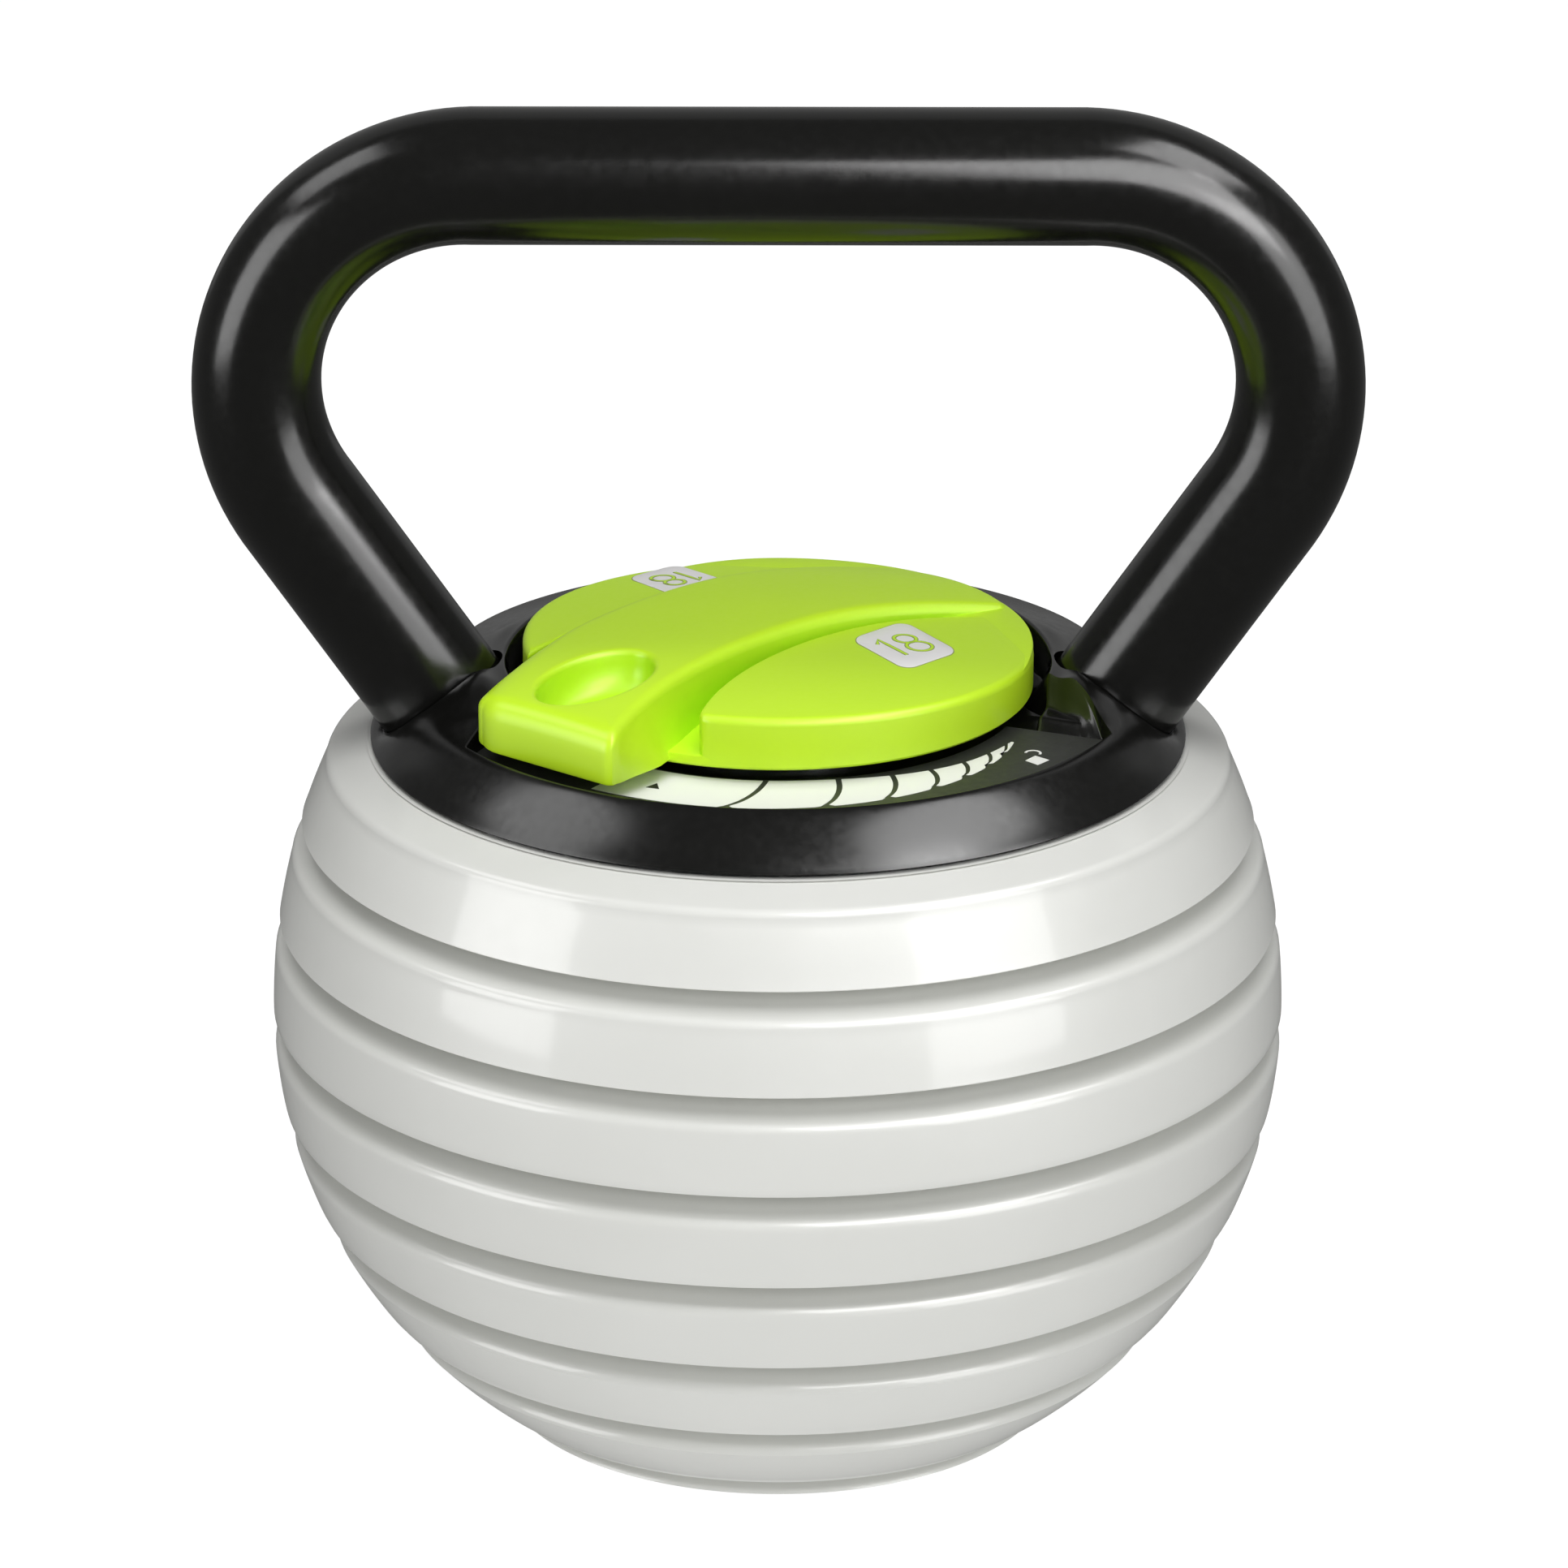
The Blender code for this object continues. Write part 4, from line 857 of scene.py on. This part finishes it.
def bar_top():
    """Rows of points over the bar, from its nose to its back, with all edges rounded."""
    side_round, corner_round, nose_round = 2.4, 6.5, 4.2
    turns = (0.0, 15.0, 30.0, 45.0, 60.0, 75.0, 90.0)
    noses = edge_steps(nose_round, turns)
    backs = edge_steps(side_round, turns)
    width = BAR_OUTER - BAR_INNER
    inner_length = [k / BAR_ROWS for k in range(1, BAR_ROWS)]
    stations = len(noses) + len(inner_length) + len(backs)

    def across(j, far_round):
        """Distance of a mesh column from the bar's inner edge, and the rounding of its side."""
        if j < len(turns):
            return edge_steps(side_round, turns)[j], side_round
        beyond = j - len(turns) - BAR_COLUMNS + 2
        if beyond > 0:
            return width - edge_steps(far_round, turns)[len(turns) - beyond], far_round
        return mix(side_round, width - far_round, (j - len(turns) + 1) / BAR_COLUMNS), side_round

    def place(i, j):
        """Point of the mesh; near an edge it lies lower by how far the rounding has turned down."""
        far_round = mix(corner_round, side_round, smoothstep(i, 0.5 * len(noses), 0.35 * stations))
        v, round_off = across(j, far_round)
        at_nose, at_back = bar_end_angles(BAR_INNER + v)
        length = radians(at_nose - at_back) * (BAR_INNER + v)
        if i < len(noses):
            w, end, end_round = noses[i], noses[i], nose_round
        elif i >= stations - len(backs):
            end = backs[stations - 1 - i]
            w, end_round = length - end, side_round
        else:
            w = mix(nose_round, length - side_round, inner_length[i - len(noses)])
            end, end_round = 1e6, nose_round
        near_side = min(v, width - v)
        a = max(0.0, 1.0 - end / end_round)
        b = max(0.0, 1.0 - near_side / round_off)
        share = max(a, b)
        if a > 0.0 and b > 0.0:
            squeeze = share / hypot(a, b)
            new_end = end_round * (1.0 - a * squeeze)
            new_side = round_off * (1.0 - b * squeeze)
            w += (new_end - end) if i < len(noses) else (end - new_end)
            v += (new_side - near_side) if v < 0.5 * width else (near_side - new_side)
        angle = at_nose - degrees(w / (BAR_INNER + v))
        flat = BAR_CENTRE + polar(BAR_INNER + v, angle)
        weight = a * a + b * b
        depth = (end_round * a * a + min(round_off, 3.2) * b * b) / weight if weight else 0.0
        drop = depth * (1.0 - sqrt(max(0.0, 1.0 - share * share)))
        return Vector((*flat, bar_height(*flat) - drop))

    columns = 2 * len(turns) + BAR_COLUMNS - 1
    return [[place(i, j) for j in range(columns)] for i in range(stations)]


def bar_skirt(edge):
    """Line below the bar's edge; its front side stands out further towards the nose."""
    low = []
    for point in edge:
        flat = Vector(point)
        inward = BAR_CENTRE - flat
        ahead = flat.dot(polar(1.0, BAR_DIRECTION))
        if inward.length < BAR_INNER + 0.2 and point != edge[0]:
            near_nose = smoothstep(-ahead, 15.0, 52.0)
            flat += inward.normalized() * BAR_FLARE * near_nose * smoothstep(NOSE_REACH + ahead, 0.0, 16.0)
        low.append(Vector((*flat, BAR_BOTTOM + 0.5)))
    return low


def bar(shape):
    """Raised bar with its nose and the finger recess."""
    grid = bar_top()
    index = [shape.row(row) for row in grid]
    patch = hole_patch(grid)
    for i in range(len(grid) - 1):
        for j in range(len(grid[0]) - 1):
            if patch[0] <= i < patch[1] and patch[2] <= j < patch[3]:
                continue
            shape.faces.append((index[i][j], index[i][j + 1], index[i + 1][j + 1], index[i + 1][j]))
    border = border_of(index)
    low = bar_skirt([shape.points[number][:2] for number in border])
    skirt = shape.row(low)
    foot = shape.row([Vector((p.x * 0.995, p.y * 0.995, BAR_BOTTOM)) for p in low])
    shape.join(border, skirt)
    shape.join(skirt, foot)
    shape.faces.append(tuple(foot))
    finger_recess(shape, index, patch)


def hole_frame():
    along = polar(1.0, HOLE_TURN)
    return along, Vector((-along.y, along.x))


def hole_patch(grid):
    """Range of rows and columns of the bar's mesh that the recess replaces."""
    along, side = hole_frame()
    rows, columns = [], []
    for i, row in enumerate(grid):
        for j, point in enumerate(row):
            away = Vector((point.x, point.y)) - HOLE_CENTRE
            u = away.dot(along) / (HOLE_HALF[0] + HOLE_MARGIN)
            v = away.dot(side) / (HOLE_HALF[1] + HOLE_MARGIN)
            if u ** 2 + v ** 2 < 1.0:
                rows.append(i)
                columns.append(j)
    return min(rows) - 1, max(rows) + 1, min(columns) - 1, max(columns) + 1


def finger_recess(shape, index, patch):
    """Rounded lip and bowl, joined to the hole left in the bar's top mesh."""
    first, last, left, right = patch
    border = border_of([row[left:right + 1] for row in index[first:last + 1]])
    along, side = hole_frame()
    lip = 1.4
    directions = []
    for number in border:
        away = Vector(shape.points[number][:2]) - HOLE_CENTRE
        directions.append(atan2(away.dot(side) / HOLE_HALF[1], away.dot(along) / HOLE_HALF[0]))

    def oval(turn, extra, shrink=1.0):
        u = (HOLE_HALF[0] * shrink + extra) * cos(turn)
        v = (HOLE_HALF[1] * shrink + extra) * sin(turn)
        return HOLE_CENTRE + u * along + v * side

    rows = []
    for share in (0.35, 0.7):
        flats = [Vector(shape.points[number][:2]).lerp(oval(turn, lip), share)
                 for number, turn in zip(border, directions)]
        rows.append(draped(flats, bar_height))
    for step in range(8):
        angle = radians(82.0 * step / 7)
        flats = [oval(turn, lip * (1.0 - sin(angle))) for turn in directions]
        rows.append(draped(flats, bar_height, -lip * (1.0 - cos(angle))))
    for step in range(1, 11):
        angle = radians(90.0 * step / 11)
        shrink = cos(angle) ** 0.42
        fall = lip + (HOLE_DEPTH - lip) * sin(angle) ** 0.9
        flats = [oval(turn, 0.0, shrink) for turn in directions]
        rows.append(draped(flats, bar_height, -fall))
    made = shape.skin(rows)
    shape.join(border, made[0])
    shape.fan(made[-1], (*HOLE_CENTRE, bar_height(*HOLE_CENTRE) - HOLE_DEPTH))


def dial(plastic):
    shape = Shape()
    dial_base(shape)
    lobe(shape, FRONT_LOBE, beyond_bar=False)
    lobe(shape, REAR_LOBE, beyond_bar=True)
    bar(shape)
    piece("dial_moulding", shape, plastic, "dial", ["dial_knob"], sharp=40.0)


# -------- badges

def badge_outline(half, corner, steps=8):
    points = []
    for quarter in range(4):
        sx = 1 if quarter in (0, 3) else -1
        sy = 1 if quarter in (0, 1) else -1
        middle = Vector((sx * (half[0] - corner), sy * (half[1] - corner)))
        for step in range(steps + 1):
            points.append(middle + polar(corner, 90.0 * (quarter + step / steps)))
    return points


def placed(points, x, y, turn, axes):
    """Points of a badge on the dial; its two directions lean towards each other."""
    along, up = polar(1.0, axes[0] + turn), polar(1.0, axes[1] + turn)
    return [Vector((x, y)) + point[0] * along + point[1] * up for point in points]


def digits():
    """Centre lines of the figures 1 and 8, 10 mm high."""
    one = [(-5.0, 2.8), (-3.3, 5.0), (-3.3, 1.7), (-3.3, -1.7), (-3.3, -5.0)]
    upper = [Vector((2.1, 2.65)) + polar(2.35, a) for a in range(0, 360, 15)]
    lower = [Vector((2.1, -2.3)) + polar(2.7, a) for a in range(0, 360, 15)]
    return one, upper, lower


def badge(number, x, y, turn, size, white, outline_ink, green):
    """White field with a thin outline, and the number in it."""
    def on_dial(shape, points, lift):
        """Thin slab whose top lies lift above the lobe."""
        rows = []
        for inset, raise_by in ((0.0, -0.5), (0.0, lift - 0.06), (0.12, lift)):
            flats = placed([p * (size - inset / p.length) for p in points], x, y, turn, BADGE_AXES)
            rows.append(draped(flats, lobe_height, raise_by))
        for share in (0.6, 0.3):
            flats = placed([p * size * share for p in points], x, y, turn, BADGE_AXES)
            rows.append(draped(flats, lobe_height, lift))
        made = shape.skin(rows)
        shape.fan(made[-1], (x, y, lobe_height(x, y) + lift))
        shape.fan(made[0], (x, y, lobe_height(x, y) - 0.5))

    rim = Shape()
    on_dial(rim, badge_outline((BADGE_HALF[0] + 0.3, BADGE_HALF[1] + 0.3), BADGE_ROUND + 0.3), 0.05)
    piece(f"badge_outline_{number}", rim, outline_ink, "dial")
    field = Shape()
    on_dial(field, badge_outline(BADGE_HALF, BADGE_ROUND), 0.13)
    piece(f"badge_field_{number}", field, white, "dial", [f"weight_badge_{number}"])
    for ink, width, lift, label in ((outline_ink, 0.95, 0.16, "edge"), (green, 0.55, 0.19, "fill")):
        figures = Shape()
        level = lobe_height(x, y)
        for line, closed in zip(digits(), (False, True, True)):
            points = placed([Vector(p) * size for p in line], x, y, turn, FIGURE_AXES)
            ribbon(figures, points, width, level - 0.1, level + lift + 0.06, closed)
        figures.points = [(px, py, pz + lobe_height(px, py) - level) for px, py, pz in figures.points]
        piece(f"badge_figures_{label}_{number}", figures, ink, "dial")


# -------- materials

def put(node, values):
    """Set sockets of a shader node by name."""
    for socket, value in values.items():
        node.inputs[socket].default_value = value


def noise(tree, coords, grain, detail=2.0, stretch=None):
    """Noise whose grain is given in millimetres."""
    if stretch:
        mapping = tree.nodes.new("ShaderNodeMapping")
        put(mapping, {"Scale": stretch})
        tree.links.new(coords, mapping.inputs["Vector"])
        coords = mapping.outputs["Vector"]
    made = tree.nodes.new("ShaderNodeTexNoise")
    tree.links.new(coords, made.inputs["Vector"])
    put(made, {"Scale": 1.0 / (grain * MM), "Detail": detail})
    return made.outputs["Fac"]


def spread(tree, value, low, high, from_low=0.3, from_high=0.7):
    made = tree.nodes.new("ShaderNodeMapRange")
    tree.links.new(value, made.inputs["Value"])
    put(made, {"From Min": from_low, "From Max": from_high, "To Min": low, "To Max": high})
    return made.outputs["Result"]


def raised(tree, height, distance):
    """Bump node whose full height is given in millimetres."""
    made = tree.nodes.new("ShaderNodeBump")
    put(made, {"Distance": distance * MM, "Strength": 1.0})
    tree.links.new(height, made.inputs["Height"])
    return made


def surface(name, colour, shade, roughness, rough_spread, grain, relief, patch=30.0, stretch=None,
            swell=None, **sockets):
    """Principled material with mottled colour, uneven gloss and a fine relief.

    colour and shade are the two tints that the mottle moves between, grain and relief
    the size and height of the fine texture in millimetres, swell a second, wider relief.
    """
    made = bpy.data.materials.new(name)
    made.use_nodes = True
    tree = made.node_tree
    shader = tree.nodes["Principled BSDF"]
    coords = tree.nodes.new("ShaderNodeTexCoord").outputs["Object"]
    tint = tree.nodes.new("ShaderNodeMix")
    tint.data_type = "RGBA"
    tree.links.new(spread(tree, noise(tree, coords, patch, 4.0), 0.0, 1.0), tint.inputs["Factor"])
    put(tint, {"A": (*colour, 1.0), "B": (*shade, 1.0)})
    tree.links.new(tint.outputs["Result"], shader.inputs["Base Color"])
    gloss = spread(tree, noise(tree, coords, 6.0 * grain, 3.0, stretch), roughness - rough_spread,
                   roughness + rough_spread)
    tree.links.new(gloss, shader.inputs["Roughness"])
    bump = raised(tree, noise(tree, coords, grain, 2.0, stretch), relief)
    if swell:
        wide = raised(tree, noise(tree, coords, swell[0], 1.0), swell[1])
        tree.links.new(wide.outputs["Normal"], bump.inputs["Normal"])
    tree.links.new(bump.outputs["Normal"], shader.inputs["Normal"])
    put(shader, {socket.replace("_", " "): value for socket, value in sockets.items()})
    return made


def make_materials():
    looks = {}

    def look(name, *numbers, **extras):
        looks[name] = surface(name, *numbers, **extras)

    look("plate_paint", (0.69, 0.695, 0.665), (0.67, 0.675, 0.645), 0.42, 0.05, 0.5, 0.004,
         swell=(5.0, 0.012), Coat_Weight=0.6, Coat_Roughness=0.10)
    look("black_paint", (0.0045, 0.0045, 0.004), (0.0037, 0.0037, 0.0033), 0.21, 0.03, 0.3, 0.004)
    look("tube_paint", (0.0045, 0.0045, 0.004), (0.0037, 0.0037, 0.0033), 0.20, 0.03, 0.35, 0.005,
         swell=(4.0, 0.01))
    look("green_plastic", (0.57, 0.88, 0.014), (0.55, 0.86, 0.014), 0.36, 0.03, 0.22, 0.004)
    look("white_print", (0.84, 0.83, 0.83), (0.81, 0.80, 0.80), 0.5, 0.04, 0.2, 0.002)
    look("dark_print", (0.028, 0.029, 0.026), (0.022, 0.023, 0.021), 0.5, 0.05, 0.3, 0.003)
    look("black_print", (0.01, 0.01, 0.01), (0.015, 0.015, 0.014), 0.5, 0.04, 0.2, 0.002)
    look("outline_ink", (0.30, 0.36, 0.12), (0.27, 0.33, 0.10), 0.5, 0.04, 0.2, 0.002)
    look("steel", (0.56, 0.56, 0.57), (0.50, 0.50, 0.51), 0.34, 0.08, 0.25, 0.004,
         stretch=(1.0, 1.0, 12.0), Metallic=1.0)
    look("brass", (0.70, 0.52, 0.25), (0.62, 0.45, 0.21), 0.33, 0.07, 0.25, 0.004,
         stretch=(1.0, 1.0, 12.0), Metallic=1.0)
    look("rubber", (0.028, 0.028, 0.027), (0.036, 0.036, 0.035), 0.8, 0.08, 0.6, 0.03)
    return looks


def dress_nodes(looks):
    """Give every CAD node that is still shown the detailed material of its kind."""
    for name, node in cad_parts.items():
        look = looks["brass"] if name == "spindle_bush" else looks["steel"]
        if not node.hide_render:
            node.data.materials.clear()
            node.data.materials.append(look)


# -------- studio

CAMERA_PLACE = Vector((0.0, -1.41777, 0.67350))
CAMERA_TARGET = Vector((0.0, 0.0, 0.13978))
CAMERA_YAW = radians(0.05)
CAMERA_ROLL = radians(0.10)
LENS = 167.7
AIM_Z = 0.14  # the lamps face a point this high on the axis
WORLD_STRENGTH = 0.12
FLOOR_REACH = 6.0

# name, azimuth, elevation, distance, width, height, radiance, and whether it lights matt
# surfaces only (fill) or shows in reflections only
SOFTBOXES = (
    ("box_left", 206.0, 13.0, 1.6, 0.85, 1.0, 4.6, False),
    ("box_right", 319.0, 13.0, 1.6, 0.95, 1.0, 4.4, False),
    ("box_high_left", 181.0, 49.0, 1.6, 0.75, 0.65, 3.4, False),
    ("box_high_right", 343.0, 57.0, 1.6, 0.95, 0.7, 6.0, False),
    ("box_grip", 302.0, 38.6, 0.53, 0.42, 0.27, 7.5, False),
    ("fill_top", 270.0, 80.0, 1.6, 1.6, 1.6, 3.3, True),
    ("fill_front", 280.0, 20.0, 2.2, 2.2, 1.6, 1.95, True),
    ("wall_back", 90.0, 26.0, 2.2, 4.2, 2.6, 0.16, False),
)


def camera():
    """Camera of the photo: its turn and roll are small errors of aim."""
    made = linked("camera", bpy.data.cameras.new("camera"))
    made.data.lens = LENS
    made.data.sensor_width = 36.0
    made.data.clip_end = 20.0
    fall = CAMERA_TARGET - CAMERA_PLACE
    pitch = -atan2(fall.z, hypot(fall.x, fall.y))
    ahead = Vector((sin(CAMERA_YAW) * cos(pitch), cos(CAMERA_YAW) * cos(pitch),
                    -sin(pitch)))
    level = Vector((cos(CAMERA_YAW), -sin(CAMERA_YAW), 0.0))
    up = level.cross(ahead)
    right = cos(CAMERA_ROLL) * level + sin(CAMERA_ROLL) * up
    top = cos(CAMERA_ROLL) * up - sin(CAMERA_ROLL) * level
    turn = Matrix((right, top, -ahead)).transposed()
    made.matrix_world = Matrix.Translation(CAMERA_PLACE) @ turn.to_4x4()
    bpy.context.scene.camera = made


def softbox(name, azimuth, elevation, distance, width, height, radiance, fill):
    """Rectangular area light that faces the kettlebell; azimuth 270 is in front of it."""
    light = bpy.data.lights.new(name, "AREA")
    light.shape = "RECTANGLE"
    light.size = width
    light.size_y = height
    light.energy = radiance * pi * width * height
    made = linked(name, light)
    flat = distance * cos(radians(elevation))
    place = polar(flat, azimuth, distance * sin(radians(elevation)) + AIM_Z)
    made.location = place
    made.rotation_euler = (Vector((0.0, 0.0, AIM_Z)) - place).to_track_quat("-Z", "Y").to_euler()
    made.visible_camera = False
    made.visible_glossy = not fill
    made.visible_diffuse = fill


def studio():
    scene = bpy.context.scene
    scene.view_settings.view_transform = "Standard"
    world = bpy.data.worlds.new("studio")
    world.use_nodes = True
    put(world.node_tree.nodes["Background"], {"Color": (1.0, 1.0, 0.99, 1.0), "Strength": WORLD_STRENGTH})
    scene.world = world
    for numbers in SOFTBOXES:
        softbox(*numbers)
    floor()


def floor():
    """Pale seamless floor, self-lit so that it stays near white."""
    mesh = bpy.data.meshes.new("floor")
    corners = [(FLOOR_REACH * x, FLOOR_REACH * y, 0.0) for x, y in ((-1, -1), (1, -1), (1, 1), (-1, 1))]
    mesh.from_pydata(corners, [], [(0, 1, 2, 3)])
    made = linked("floor", mesh)
    pale = bpy.data.materials.new("floor")
    pale.use_nodes = True
    put(pale.node_tree.nodes["Principled BSDF"], {
        "Base Color": (0.12, 0.12, 0.12, 1.0), "Roughness": 0.9, "Specular IOR Level": 0.1,
        "Emission Color": (1.0, 1.0, 1.0, 1.0), "Emission Strength": 0.95})
    mesh.materials.append(pale)
    made.visible_glossy = False


def main():
    looks = make_materials()
    top_plate(looks["plate_paint"])
    for number in range(2, PLATE_COUNT + 1):
        loose_plate(number, looks["plate_paint"])
    base_casting(looks["plate_paint"], looks["rubber"])
    casing(looks["black_paint"])
    handle(looks["tube_paint"])
    scale_face(looks["dark_print"])
    scale_fields(looks["white_print"])
    scale_marks(looks["white_print"], looks["black_print"])
    dial(looks["green_plastic"])
    for number, (x, y, turn, size) in enumerate(BADGE_PLACES, 1):
        badge(number, x, y, turn, size, looks["white_print"], looks["outline_ink"], looks["green_plastic"])
    dress_nodes(looks)
    studio()
    camera()


main()
